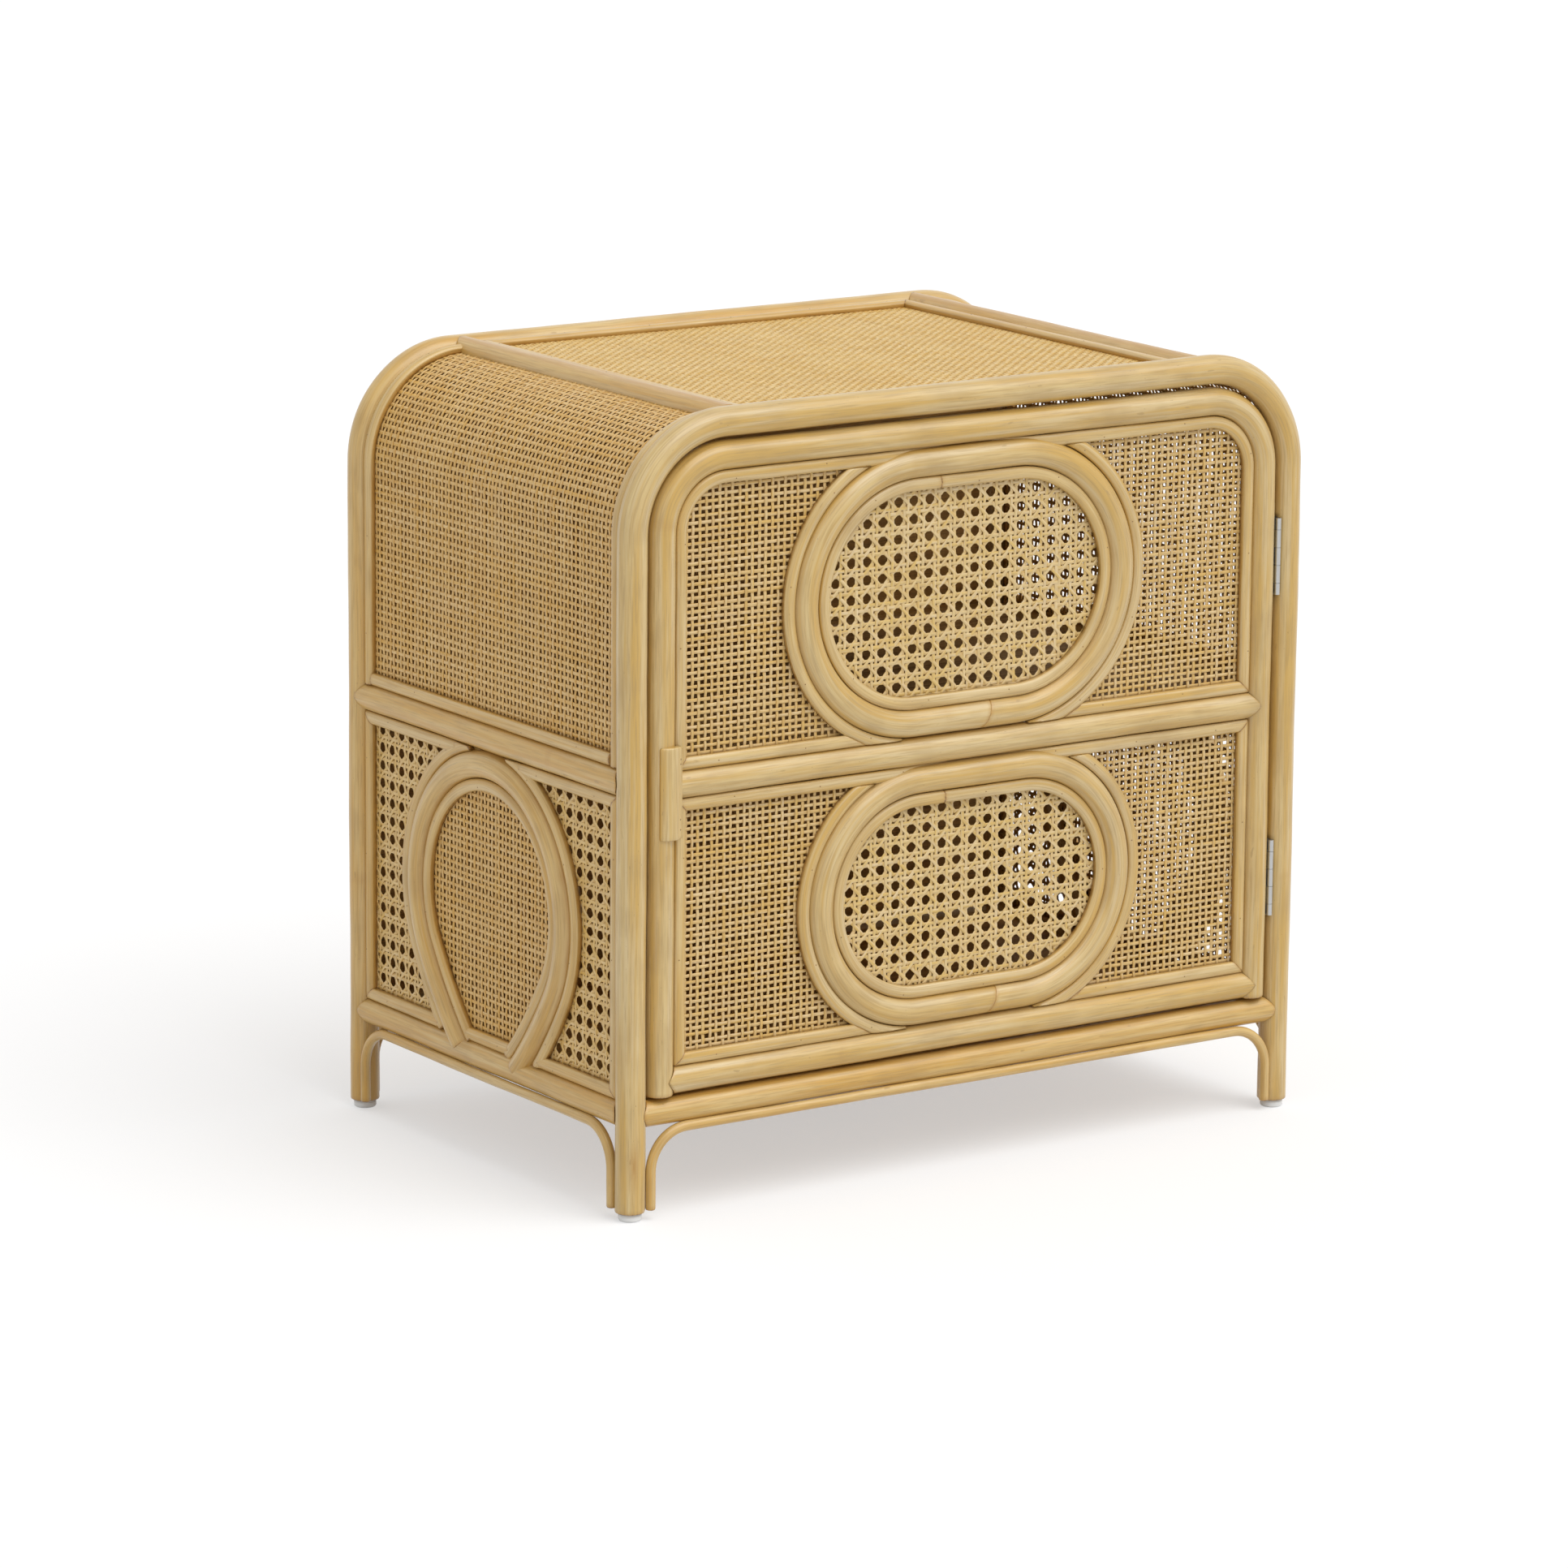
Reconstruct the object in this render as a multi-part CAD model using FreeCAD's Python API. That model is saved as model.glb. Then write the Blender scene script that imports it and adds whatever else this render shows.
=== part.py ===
import FreeCAD, Part
import math
import os

V = FreeCAD.Vector
X = V(1, 0, 0)
Y = V(0, 1, 0)
Z = V(0, 0, 1)
ORIGIN = V(0, 0, 0)

# Overall sizes of the cabinet, in millimetres
width = 690.9
depth = 449.6
height = 668.0

# Round rattan stock
pole_dia = 25.0
door_pole_dia = 24.4
rail_dia = 24.0
bottom_rail_dia = 23.0
horseshoe_dia = 24.0
brace_dia = 8.6

# Split beads: a half-round strip with low upright sides, its round face drawn as a few flats
bead_width = 10.0
bead_height = 6.5
bead_side = 1.5
bead_flats = 4

# Webbing and boards
webbing = 1.6
weave_pitch = 30.8
weave_hole = 28.0
weave_hole_sides = 4
cane_pitch = 15.6
cane_hole = 9.6
cane_hole_sides = 6
hole_border = 2.0
top_board_thick = 6.0
back_panel_thick = 4.0
bottom_board_thick = 6.0
shelf_thick = 9.0
mat_thick = 1.5

# Frame: arches, rails and braces
arch_bend = 87.5
glide_height = 7.0
glide_dia = 19.5
glide_bevel = 1.5
glide_peg_dia = 6.0
glide_peg_length = 14.0
peg_clearance = 0.05
bottom_rail_z = 88.5
mid_rail_z = 365.5
top_rail_inset = 109.5
top_mat_rise = 2.0
brace_bend = 35.0
brace_foot_z = 8.5
seat_gap = 0.1

# Horseshoe on each side panel
horseshoe_crown = 116.0
horseshoe_turn = 120.0
horseshoe_limb = 420.0
horseshoe_rail_gap = 0.2
horseshoe_foot_lap = 7.0
crown_break = 52.0

# Door
door_side_gap = 2.5
door_top_gap = 2.6
door_bottom_gap = 2.0
door_bend = 60.3
door_mid_rail_z = 361.0
ring_gap = 0.2
upper_ring_half_straight = 51.5
lower_ring_half_straight = 53.5
upper_ring_shift = -5.0
lower_ring_shift = 4.0
handle_width = 21.0
handle_thick = 8.5
handle_side = 4.5
handle_length = 77.0
handle_proud = 3.5
handle_shift = 3.8
handle_drop = 4.5

# Butt hinges
hinge_length = 66.4
hinge_upper_z = 489.3
hinge_lower_z = 207.3
hinge_forward = 8.5
barrel_dia = 5.0
pin_dia = 3.0
pin_clearance = 0.05
leaf_thick = 1.0
leaf_width = 13.0
end_knuckle = 10.0
knuckle_gap = 0.3

# Shelf and magnetic catch
shelf_door_gap = 6.0
catch_width = 44.0
catch_depth = 22.0
catch_height = 14.0
catch_inset = 44.0
strike_width = 32.0
strike_height = 20.0
strike_thick = 1.5
strike_gap = 0.3

# Places that follow from the sizes above
pole_r = pole_dia / 2
door_pole_r = door_pole_dia / 2
rail_r = rail_dia / 2
bottom_rail_r = bottom_rail_dia / 2
horseshoe_r = horseshoe_dia / 2
brace_r = brace_dia / 2
leg_x = width / 2 - pole_r
front_y = -depth / 2 + handle_proud + pole_r
back_y = depth / 2 - pole_r
middle_y = (front_y + back_y) / 2
half_depth = (back_y - front_y) / 2
top_z = height - pole_r
top_rail_x = width / 2 - top_rail_inset
door_x = leg_x - pole_r - door_side_gap - door_pole_r
door_top_z = top_z - pole_r - door_top_gap - door_pole_r
door_bottom = bottom_rail_z + bottom_rail_r + door_bottom_gap
door_bottom_rail_z = door_bottom + rail_r
pin_x = leg_x - pole_r - door_side_gap / 2
pin_y = front_y - hinge_forward
barrel_r = barrel_dia / 2
shelf_top = mid_rail_z + shelf_thick / 2

nodes = {}


def line(a, b):
    """A straight run of a path."""
    return Part.makeLine(a, b)


def arc(centre, radius, start, end):
    """A circular run in the flat XY plane, from one angle to another in degrees."""
    def at(degrees):
        turn = math.radians(degrees)
        return centre + V(math.cos(turn), math.sin(turn), 0) * radius
    return Part.Arc(at(start), at((start + end) / 2), at(end)).toShape()


def pole(edges, radius):
    """A round pole bent along lines and arcs that follow each other."""
    first = edges[0]
    start = first.valueAt(first.FirstParameter)
    heading = first.tangentAt(first.FirstParameter)
    disc = Part.Face(Part.Wire(Part.makeCircle(radius, start, heading)))
    return Part.Wire(edges).makePipe(disc)


def bead(edges, outward=Z):
    """A split bead whose flat back follows the path, with its round face outward."""
    first = edges[0]
    start = first.valueAt(first.FirstParameter)
    across = first.tangentAt(first.FirstParameter).cross(outward) * (bead_width / 2)
    shoulder = outward * bead_side
    left = start - across
    right = start + across
    crest = Part.Arc(right + shoulder, start + outward * bead_height, left + shoulder).discretize(bead_flats + 1)
    profile = Part.makePolygon([left, right] + crest + [left])
    return Part.Wire(edges).makePipe(Part.Face(profile))


def slab(face, thick):
    """A flat face made into a sheet, with its middle on the plane of the face."""
    sheet = face.copy()
    sheet.translate(Z * (-thick / 2))
    return sheet.extrude(Z * thick)


def rectangle(u0, u1, v0, v1):
    """A flat rectangular face."""
    return Part.makePlane(u1 - u0, v1 - v0, V(u0, v0, 0))


def box(low, high):
    """A box between two corners."""
    size = high - low
    return Part.makeBox(size.x, size.y, size.z, low)


def stand_front(shape, y):
    """A flat drawing of width and height stood up to face the front, at depth y."""
    stood = shape.copy()
    stood.rotate(ORIGIN, X, 90)
    stood.translate(Y * y)
    return stood


def stand_back(shape, y):
    """The same, facing the back."""
    stood = stand_front(shape, 0)
    stood.rotate(ORIGIN, Z, 180)
    stood.translate(Y * y)
    return stood


def stand_left(shape):
    """A flat drawing of depth and height stood up in the plane of the left legs."""
    stood = stand_front(shape, 0)
    stood.rotate(ORIGIN, Z, -90)
    stood.translate(V(-leg_x, middle_y, 0))
    return stood


def to_right(shape):
    """The right-hand twin of a piece on the left."""
    return shape.mirror(ORIGIN, X)


def group(shapes):
    """Several separate solids kept as one node."""
    solids = []
    for shape in shapes:
        solids.extend(shape.Solids)
    return Part.makeCompound(solids)


def pair(name, shape):
    """A node on the left side of the cabinet and its twin on the right."""
    nodes["left_" + name] = shape
    nodes["right_" + name] = to_right(shape)


# Flat drawings that several pieces share

def arch_path(half, low, high, bend):
    """An upturned U: two uprights, two quarter bends and a level run."""
    inner = half - bend
    shoulder = high - bend
    return [
        line(V(-half, low, 0), V(-half, shoulder, 0)),
        arc(V(-inner, shoulder, 0), bend, 180, 90),
        line(V(-inner, high, 0), V(inner, high, 0)),
        arc(V(inner, shoulder, 0), bend, 90, 0),
        line(V(half, shoulder, 0), V(half, low, 0)),
    ]


def arch_face(half, low, high, bend):
    """The face inside an upturned U, closed along the bottom."""
    return Part.Face(Part.Wire(arch_path(half, low, high, bend) + [line(V(half, low, 0), V(-half, low, 0))]))


def racetrack(centre, half_straight, radius):
    """Two level runs joined by half circles."""
    reach = X * half_straight
    rise = Y * radius
    return [
        line(centre - reach + rise, centre + reach + rise),
        arc(centre + reach, radius, 90, -90),
        line(centre + reach - rise, centre - reach - rise),
        arc(centre - reach, radius, -90, -270),
    ]


def rail(half, v, radius):
    """A level pole, drawn flat."""
    return pole([line(V(-half, v, 0), V(half, v, 0))], radius)


def mitred(corner, along, length, inward):
    """A straight bead against an edge, with both ends cut at 45 degrees."""
    end = corner + along * length
    middle = inward * (bead_width / 2)
    strip = bead([line(corner + middle, end + middle)])
    inner = inward * bead_width
    outline = [corner, end, end + inner - along * bead_width, corner + inner + along * bead_width, corner]
    wedge = Part.Face(Part.makePolygon(outline)).extrude(Z * bead_height * 2)
    return strip.common(wedge)


def square_beads(u0, u1, v0, v1):
    """Four mitred beads round a rectangular bay."""
    wide = u1 - u0
    high = v1 - v0
    return [
        mitred(V(u0, v0, 0), X, wide, Y),
        mitred(V(u1, v0, 0), Y, high, X * -1),
        mitred(V(u1, v1, 0), X * -1, wide, Y * -1),
        mitred(V(u0, v1, 0), Y * -1, high, X),
    ]


def arched_beads(half, low, high, bend):
    """A bead bent round the sides and top of a bay, and a mitred one along its bottom."""
    inset = bead_width / 2
    bent = bead(arch_path(half - inset, low, high - inset, bend - inset))
    bottom = mitred(V(-half, low, 0), X, half * 2, Y)
    corners = [
        Part.Face(Part.makePolygon([
            V(side * half, low, 0),
            V(side * (half - bead_width), low + bead_width, 0),
            V(side * (half - bead_width), low, 0),
            V(side * half, low, 0),
        ])).extrude(Z * bead_height * 2)
        for side in (-1, 1)
    ]
    return [bent.cut(corners), bottom]


def on_webbing(shape, thick=webbing):
    """A bead lifted from the middle plane on to the face of the sheet under it."""
    lifted = shape.copy()
    lifted.translate(Z * (thick / 2))
    return lifted


def pierced(face, pitch, hole, sides):
    """A face of webbing, with its rows of holes where no bead covers it. A hole is measured over its corners."""
    bounds = face.BoundBox
    middle = bounds.Center
    columns = int(bounds.XLength / pitch / 2)
    rows = int(bounds.YLength / pitch / 2)
    clear = bead_width + hole_border + hole / 2
    half_step = math.pi / sides
    corners = [half_step * (2 * k + 1) for k in range(sides)]
    holes = []
    for column in range(-columns, columns + 1):
        for row in range(-rows, rows + 1):
            centre = V(middle.x + column * pitch, middle.y + row * pitch, 0)
            if not face.isInside(centre, seat_gap, True):
                continue
            if face.OuterWire.distToShape(Part.Vertex(centre))[0] < clear:
                continue
            ring = [centre + V(math.sin(turn), math.cos(turn), 0) * (hole / 2) for turn in corners]
            holes.append(Part.makePolygon(ring + ring[:1]))
    return Part.makeFace([face.OuterWire] + holes, "Part::FaceMakerBullseye")


def cane(face):
    """A sheet of six-way cane, with its many-sided holes."""
    return slab(pierced(face, cane_pitch, cane_hole, cane_hole_sides), webbing)


def open_weave(face):
    """A sheet of open weave, drawn as a plain grid of square openings."""
    return slab(pierced(face, weave_pitch, weave_hole, weave_hole_sides), webbing)


# Front and back arches, each one pole bent over the top and down to the floor

glide_places = [V(x, y, 0) for x in (-leg_x, leg_x) for y in (front_y, back_y)]
peg_holes = [
    Part.makeCylinder(glide_peg_dia / 2 + peg_clearance, glide_peg_length, place + Z * glide_height)
    for place in glide_places
]
arch = pole(arch_path(leg_x, glide_height, top_z, arch_bend), pole_r)
front_arch = stand_front(arch, front_y).cut(peg_holes)
back_arch = stand_front(arch, back_y).cut(peg_holes)
arches = [front_arch, back_arch]
nodes["back_arch"] = back_arch

# Floor glides: a plastic foot with a bevelled rim, and a peg up into the pole

glides = []
for place in glide_places:
    rim = Part.makeCone(glide_dia / 2 - glide_bevel, glide_dia / 2, glide_bevel, place)
    foot = Part.makeCylinder(glide_dia / 2, glide_height - glide_bevel, place + Z * glide_bevel)
    peg = Part.makeCylinder(glide_peg_dia / 2, glide_peg_length, place + Z * glide_height)
    glides.append(rim.fuse([foot, peg]))
nodes["floor_glides"] = group(glides)

# Rails between the legs, each coped round the poles that it meets

bottom_rail = rail(leg_x, bottom_rail_z, bottom_rail_r)
front_bottom_rail = stand_front(bottom_rail, front_y).cut(arches)
back_bottom_rail = stand_front(bottom_rail, back_y).cut(arches)
back_mid_rail = stand_front(rail(leg_x, mid_rail_z, rail_r), back_y).cut(arches)
nodes["front_bottom_rail"] = front_bottom_rail
nodes["back_bottom_rail"] = back_bottom_rail
nodes["back_mid_rail"] = back_mid_rail

left_bottom_rail = stand_left(rail(half_depth, bottom_rail_z, bottom_rail_r))
left_bottom_rail = left_bottom_rail.cut(arches + [front_bottom_rail, back_bottom_rail])
left_mid_rail = stand_left(rail(half_depth, mid_rail_z, rail_r)).cut(arches + [back_mid_rail])
left_top_rail = stand_left(rail(half_depth, top_z, rail_r))
left_top_rail.translate(X * (leg_x - top_rail_x))
left_top_rail = left_top_rail.cut(arches)
pair("bottom_rail", left_bottom_rail)
pair("mid_rail", left_mid_rail)
pair("top_rail", left_top_rail)

# Thin braces bent under the bottom rails, flush with the outside of the legs

brace_out = pole_r - brace_r
brace_to_leg = math.sqrt((pole_r + brace_r + seat_gap) ** 2 - brace_out ** 2)
brace_to_rail = math.sqrt((bottom_rail_r + brace_r + seat_gap) ** 2 - brace_out ** 2)
brace_top = bottom_rail_z - brace_to_rail


def brace(half):
    """A thin pole from leg to leg, lifted out to the face of the frame."""
    bent = pole(arch_path(half - brace_to_leg, brace_foot_z, brace_top, brace_bend), brace_r)
    bent.translate(Z * brace_out)
    return bent


nodes["front_brace"] = stand_front(brace(leg_x), front_y)
nodes["back_brace"] = stand_back(brace(leg_x), back_y)
pair("brace", stand_left(brace(half_depth)))

# Top: a board between the poles, a close-woven mat on it and beads round its edge

top_face_z = top_z + top_mat_rise
top_mat_z = top_face_z - mat_thick
top_poles = arches + [left_top_rail, to_right(left_top_rail)]


def top_layer(low, high):
    """A layer that fills the space between the top poles."""
    return box(V(-top_rail_x, front_y, low), V(top_rail_x, back_y, high)).cut(top_poles)


nodes["top_board"] = top_layer(top_mat_z - top_board_thick, top_mat_z)
nodes["top_mat"] = top_layer(top_mat_z, top_face_z)
top_beads = square_beads(rail_r - top_rail_x, top_rail_x - rail_r, front_y + pole_r, back_y - pole_r)
for strip in top_beads:
    strip.translate(Z * top_face_z)
nodes["top_beads"] = group(top_beads)

# Upper side panels: open weave bent over the shoulder, from the middle rail to the top rail


def shoulder_path(offset):
    """The bend of the arch seen from the front, moved out by the offset, up to the top rail."""
    bend = arch_bend + offset
    centre = V(arch_bend - leg_x, top_z - arch_bend, 0)
    return [
        line(V(-leg_x - offset, mid_rail_z, 0), V(-leg_x - offset, centre.y, 0)),
        arc(centre, bend, 180, 90),
        line(V(centre.x, top_z + offset, 0), V(-top_rail_x, top_z + offset, 0)),
    ]


outer_skin = shoulder_path(webbing / 2)
inner_skin = shoulder_path(-webbing / 2)
ends = [
    line(outer_skin[0].Vertexes[0].Point, inner_skin[0].Vertexes[0].Point),
    line(outer_skin[-1].Vertexes[1].Point, inner_skin[-1].Vertexes[1].Point),
]
skin = Part.Face(Part.Wire(Part.__sortEdges__(outer_skin + inner_skin + ends)))
skin = stand_front(skin, front_y).extrude(Y * (back_y - front_y))
bead_foot = mid_rail_z + rail_r
spring_z = top_z - arch_bend
shoulder_axis = V(arch_bend - leg_x, middle_y, spring_z)
weave_half = half_depth - pole_r - bead_width - hole_border
weave_columns = int(2 * weave_half / weave_pitch)
rows_below = int((spring_z - bead_foot - bead_width - hole_border) / weave_pitch)
rows_round = int((arch_bend * math.pi / 2 - rail_r) / weave_pitch)


def shoulder_opening(column, row):
    """A square opening in the sheet. Rows count from the spring of the bend: down the side, or round it."""
    half = weave_hole / math.sqrt(2) / 2
    y = middle_y + (column - (weave_columns - 1) / 2) * weave_pitch
    climb = (row + 0.5) * weave_pitch
    opening = box(V(-leg_x - pole_r, y - half, spring_z - half), V(-leg_x + pole_r, y + half, spring_z + half))
    if row < 0:
        opening.translate(Z * climb)
    else:
        opening.rotate(shoulder_axis, Y, math.degrees(climb / arch_bend))
    return opening


openings = [
    shoulder_opening(column, row)
    for column in range(weave_columns)
    for row in range(-rows_below, rows_round)
]
pair("upper_weave", skin.cut(arches + [left_mid_rail, left_top_rail] + openings))

bead_run = shoulder_path(webbing / 2)
bead_run[0] = line(V(-leg_x - webbing / 2, bead_foot, 0), bead_run[0].Vertexes[1].Point)
bead_run = [stand_front(run, 0) for run in bead_run]
bent_bead = bead(bead_run, X * -1)
bent_beads = []
for y in (front_y + pole_r + bead_width / 2, back_y - pole_r - bead_width / 2):
    placed = bent_bead.copy()
    placed.translate(Y * y)
    bent_beads.append(placed.cut(left_top_rail))
foot_half = half_depth - pole_r - bead_width
foot_bead = bead([line(V(-foot_half, bead_foot + bead_width / 2, 0), V(foot_half, bead_foot + bead_width / 2, 0))])
pair("upper_beads", group(bent_beads + [stand_left(on_webbing(foot_bead))]))

# Lower side panels: cane, with a horseshoe pole round a field of open weave

side_half = half_depth - pole_r
side_low = bottom_rail_z + bottom_rail_r
side_high = mid_rail_z - rail_r
crown_centre = V(0, side_high - horseshoe_rail_gap - horseshoe_r - horseshoe_crown, 0)
turn = math.radians(horseshoe_turn)
limb_step = V(math.sin(turn), math.cos(turn), 0) * (horseshoe_limb - horseshoe_crown)
foot_z = side_low - horseshoe_foot_lap


def horseshoe_path(offset, low):
    """The horseshoe's line moved out by the offset: a round crown and two gentle limbs."""
    limb = horseshoe_limb + offset
    left_centre = crown_centre + V(limb_step.x, -limb_step.y, 0)
    right_centre = crown_centre - limb_step
    drop = math.degrees(math.asin((right_centre.y - low) / limb))
    start = 90 - horseshoe_turn
    return [
        arc(left_centre, limb, 180 + drop, 180 - start),
        arc(crown_centre, horseshoe_crown + offset, 180 - start, start),
        arc(right_centre, limb, start, -drop),
    ]


def horseshoe_face(offset, low):
    """The field inside the horseshoe's line, closed along the bottom."""
    path = horseshoe_path(offset, low)
    path.append(line(path[-1].valueAt(path[-1].LastParameter), path[0].valueAt(path[0].FirstParameter)))
    return Part.Face(Part.Wire(path))


side_rails = [left_mid_rail, left_bottom_rail]
horseshoe = stand_left(pole(horseshoe_path(0, foot_z), horseshoe_r)).cut(side_rails)
pair("horseshoe", horseshoe)

cane_field = rectangle(-side_half, side_half, side_low, side_high)
cane_field = cane_field.cut(horseshoe_face(horseshoe_r, foot_z)).Faces
pair("cane", group([stand_left(cane(face)) for face in cane_field]))
pair("horseshoe_weave", stand_left(open_weave(horseshoe_face(-horseshoe_r, side_low))))

bead_step = horseshoe_r + bead_width / 2
outer_bead = stand_left(on_webbing(bead(horseshoe_path(bead_step, side_low))))
inner_bead = stand_left(on_webbing(bead(horseshoe_path(-bead_step, side_low))))
crown_touch = slab(rectangle(-crown_break / 2, crown_break / 2, crown_centre.y, mid_rail_z), pole_dia)
outer_bead = outer_bead.cut(side_rails + [stand_left(crown_touch)])
pair("horseshoe_beads", group([outer_bead, inner_bead.cut(side_rails)]))
outer_zone = slab(horseshoe_face(horseshoe_r + bead_width, foot_z), pole_dia)
inner_zone = slab(horseshoe_face(-horseshoe_r - bead_width, foot_z), pole_dia)
horseshoe_zone = outer_zone.cut(inner_zone)
bay_beads = square_beads(-side_half, side_half, side_low, side_high)
pair("lower_beads", group([stand_left(on_webbing(strip.cut(horseshoe_zone))) for strip in bay_beads]))

# Back: two thin panels between the poles, with beads on the outside

back_half = leg_x - pole_r
back_high = top_z - pole_r
back_bend = arch_bend - pole_r
upper_low = mid_rail_z + rail_r
upper_back = arch_face(back_half, upper_low, back_high, back_bend)
lower_back = rectangle(-back_half, back_half, side_low, side_high)
nodes["back_upper_panel"] = stand_back(slab(upper_back, back_panel_thick), back_y)
nodes["back_lower_panel"] = stand_back(slab(lower_back, back_panel_thick), back_y)
back_beads = arched_beads(back_half, upper_low, back_high, back_bend)
back_beads += square_beads(-back_half, back_half, side_low, side_high)
nodes["back_beads"] = group([stand_back(on_webbing(strip, back_panel_thick), back_y) for strip in back_beads])

# Inside: a bottom board let in between the bottom rails, a shelf between the middle rails and its mat

board_low = bottom_rail_z - bottom_board_thick / 2
board = box(V(-leg_x, front_y, board_low), V(leg_x, back_y, board_low + bottom_board_thick))
bottom_rails = [front_bottom_rail, back_bottom_rail, left_bottom_rail, to_right(left_bottom_rail)]
nodes["bottom_board"] = board.cut(arches + bottom_rails)

shelf_front = front_y + pole_r + shelf_door_gap
mid_rails = [back_mid_rail, left_mid_rail, to_right(left_mid_rail)]


def shelf_layer(low, high):
    """A layer between the middle rails, back from the door."""
    return box(V(-leg_x, shelf_front, low), V(leg_x, back_y, high)).cut(arches + mid_rails)


nodes["shelf_board"] = shelf_layer(shelf_top - shelf_thick, shelf_top)
nodes["shelf_mat"] = shelf_layer(shelf_top, shelf_top + mat_thick)

# Hinges: knuckles on a pin in the gap between door and leg, leaves let into flats on both poles

inner_knuckle = (hinge_length - 2 * end_knuckle) / 3
knuckle_tops = [
    end_knuckle,
    end_knuckle + inner_knuckle,
    end_knuckle + 2 * inner_knuckle,
    end_knuckle + 3 * inner_knuckle,
    hinge_length,
]
knuckle_spans = list(zip([0] + knuckle_tops[:-1], knuckle_tops))
leaf_back = barrel_r + knuckle_gap


def leaf(spans):
    """One leaf about the pin at the origin: a plate on the +X side, with its own knuckles."""
    plate = box(V(barrel_r - leaf_thick, leaf_back, 0), V(barrel_r, leaf_width, hinge_length))
    for low, high in spans:
        foot = low + (knuckle_gap / 2 if low > 0 else 0)
        head = high - (knuckle_gap / 2 if high < hinge_length else 0)
        tab = box(V(barrel_r - leaf_thick, 0, foot), V(barrel_r, leaf_back, head))
        barrel = Part.makeCylinder(barrel_r, head - foot, Z * foot)
        plate = plate.fuse([tab, barrel])
    bore = Part.makeCylinder(pin_dia / 2 + pin_clearance, hinge_length)
    return plate.cut(bore).removeSplitter()


frame_leaves = []
door_leaves = []
pins = []
flats = []
for hinge_z in (hinge_upper_z, hinge_lower_z):
    foot = V(pin_x, pin_y, hinge_z - hinge_length / 2)
    frame_side = leaf(knuckle_spans[0::2])
    door_side = leaf(knuckle_spans[1::2]).mirror(ORIGIN, X)
    flat = box(V(-barrel_r, -pole_dia, -seat_gap), V(barrel_r, pole_dia * 2, hinge_length + seat_gap))
    pin = Part.makeCylinder(pin_dia / 2, hinge_length)
    for shape in (frame_side, door_side, flat, pin):
        shape.translate(foot)
    frame_leaves.append(frame_side)
    door_leaves.append(door_side)
    pins.append(pin)
    flats.append(flat)
nodes["front_arch"] = front_arch.cut(flats)
nodes["hinge_frame_leaves"] = group(frame_leaves)
nodes["hinge_pins"] = group(pins)
nodes["hinge_door_leaves"] = group(door_leaves)

# Door frame: an arch inside the front arch, a middle rail and a bottom rail

door_frame = pole(arch_path(door_x, door_bottom, door_top_z, door_bend), door_pole_r)
door_arch = stand_front(door_frame, front_y)
nodes["door_arch"] = door_arch.cut(flats)
strike_x = -door_x + catch_inset
strike_y = front_y + rail_r - strike_thick
strike_high = door_mid_rail_z + strike_height / 4
strike = box(
    V(strike_x - strike_width / 2, strike_y, strike_high - strike_height),
    V(strike_x + strike_width / 2, strike_y + strike_thick, strike_high),
)
door_mid_rail = stand_front(rail(door_x, door_mid_rail_z, rail_r), front_y).cut([door_arch, strike])
door_bottom_rail = stand_front(rail(door_x, door_bottom_rail_z, rail_r), front_y).cut(door_arch)
nodes["door_mid_rail"] = door_mid_rail
nodes["door_bottom_rail"] = door_bottom_rail
nodes["catch_strike"] = strike

# Magnetic catch: under the shelf, facing the strike on the back of the door's middle rail

catch_y = strike_y + strike_thick + strike_gap
catch_top = shelf_top - shelf_thick
catch = box(
    V(strike_x - catch_width / 2, catch_y, catch_top - catch_height),
    V(strike_x + catch_width / 2, catch_y + catch_depth, catch_top),
)
nodes["magnetic_catch"] = catch

# Door bays: open weave round a ring, and cane inside it

bay_half = door_x - door_pole_r


def door_bay(name, bay, strips, low, high, half_straight, shift):
    """The ring, webbing and beads of one bay of the door, between two heights."""
    centre = V(shift, (low + high) / 2, 0)
    outer = (high - low) / 2 - ring_gap
    axis = outer - door_pole_r
    ring = pole(racetrack(centre, half_straight, axis), door_pole_r)
    field = Part.Face(Part.Wire(racetrack(centre, half_straight, outer)))
    neck = rectangle(shift - half_straight, shift + half_straight, low, high)
    weave = bay.cut([field, neck])
    opening = Part.Face(Part.Wire(racetrack(centre, half_straight, axis - door_pole_r)))
    inset = bead_width / 2
    inner_bead = bead(racetrack(centre, half_straight, axis - door_pole_r - inset))
    side_beads = []
    edge_zone = [
        box(V(-bay_half, edge - bead_width, 0), V(bay_half, edge + bead_width, bead_height * 2))
        for edge in (low, high)
    ]
    for run in racetrack(centre, half_straight, outer + inset)[1::2]:
        side_beads.append(bead([run]).cut(edge_zone))
    tips = neck.extrude(Z * bead_height * 2)
    lifted = [on_webbing(strip.cut(tips)) for strip in strips]
    pieces = {
        name + "_ring": ring,
        name + "_weave": group([open_weave(face) for face in weave.Faces]),
        name + "_cane": cane(opening),
        name + "_ring_beads": group([on_webbing(strip) for strip in [inner_bead] + side_beads]),
        name + "_bay_beads": group([strip.cut(ring) for strip in lifted]),
    }
    for key, shape in pieces.items():
        nodes[key] = stand_front(shape, front_y)


upper_low = door_mid_rail_z + rail_r
upper_high = door_top_z - door_pole_r
bay_bend = door_bend - door_pole_r
upper_bay = arch_face(bay_half, upper_low, upper_high, bay_bend)
upper_strips = arched_beads(bay_half, upper_low, upper_high, bay_bend)
door_bay("upper", upper_bay, upper_strips, upper_low, upper_high, upper_ring_half_straight, upper_ring_shift)

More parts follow.
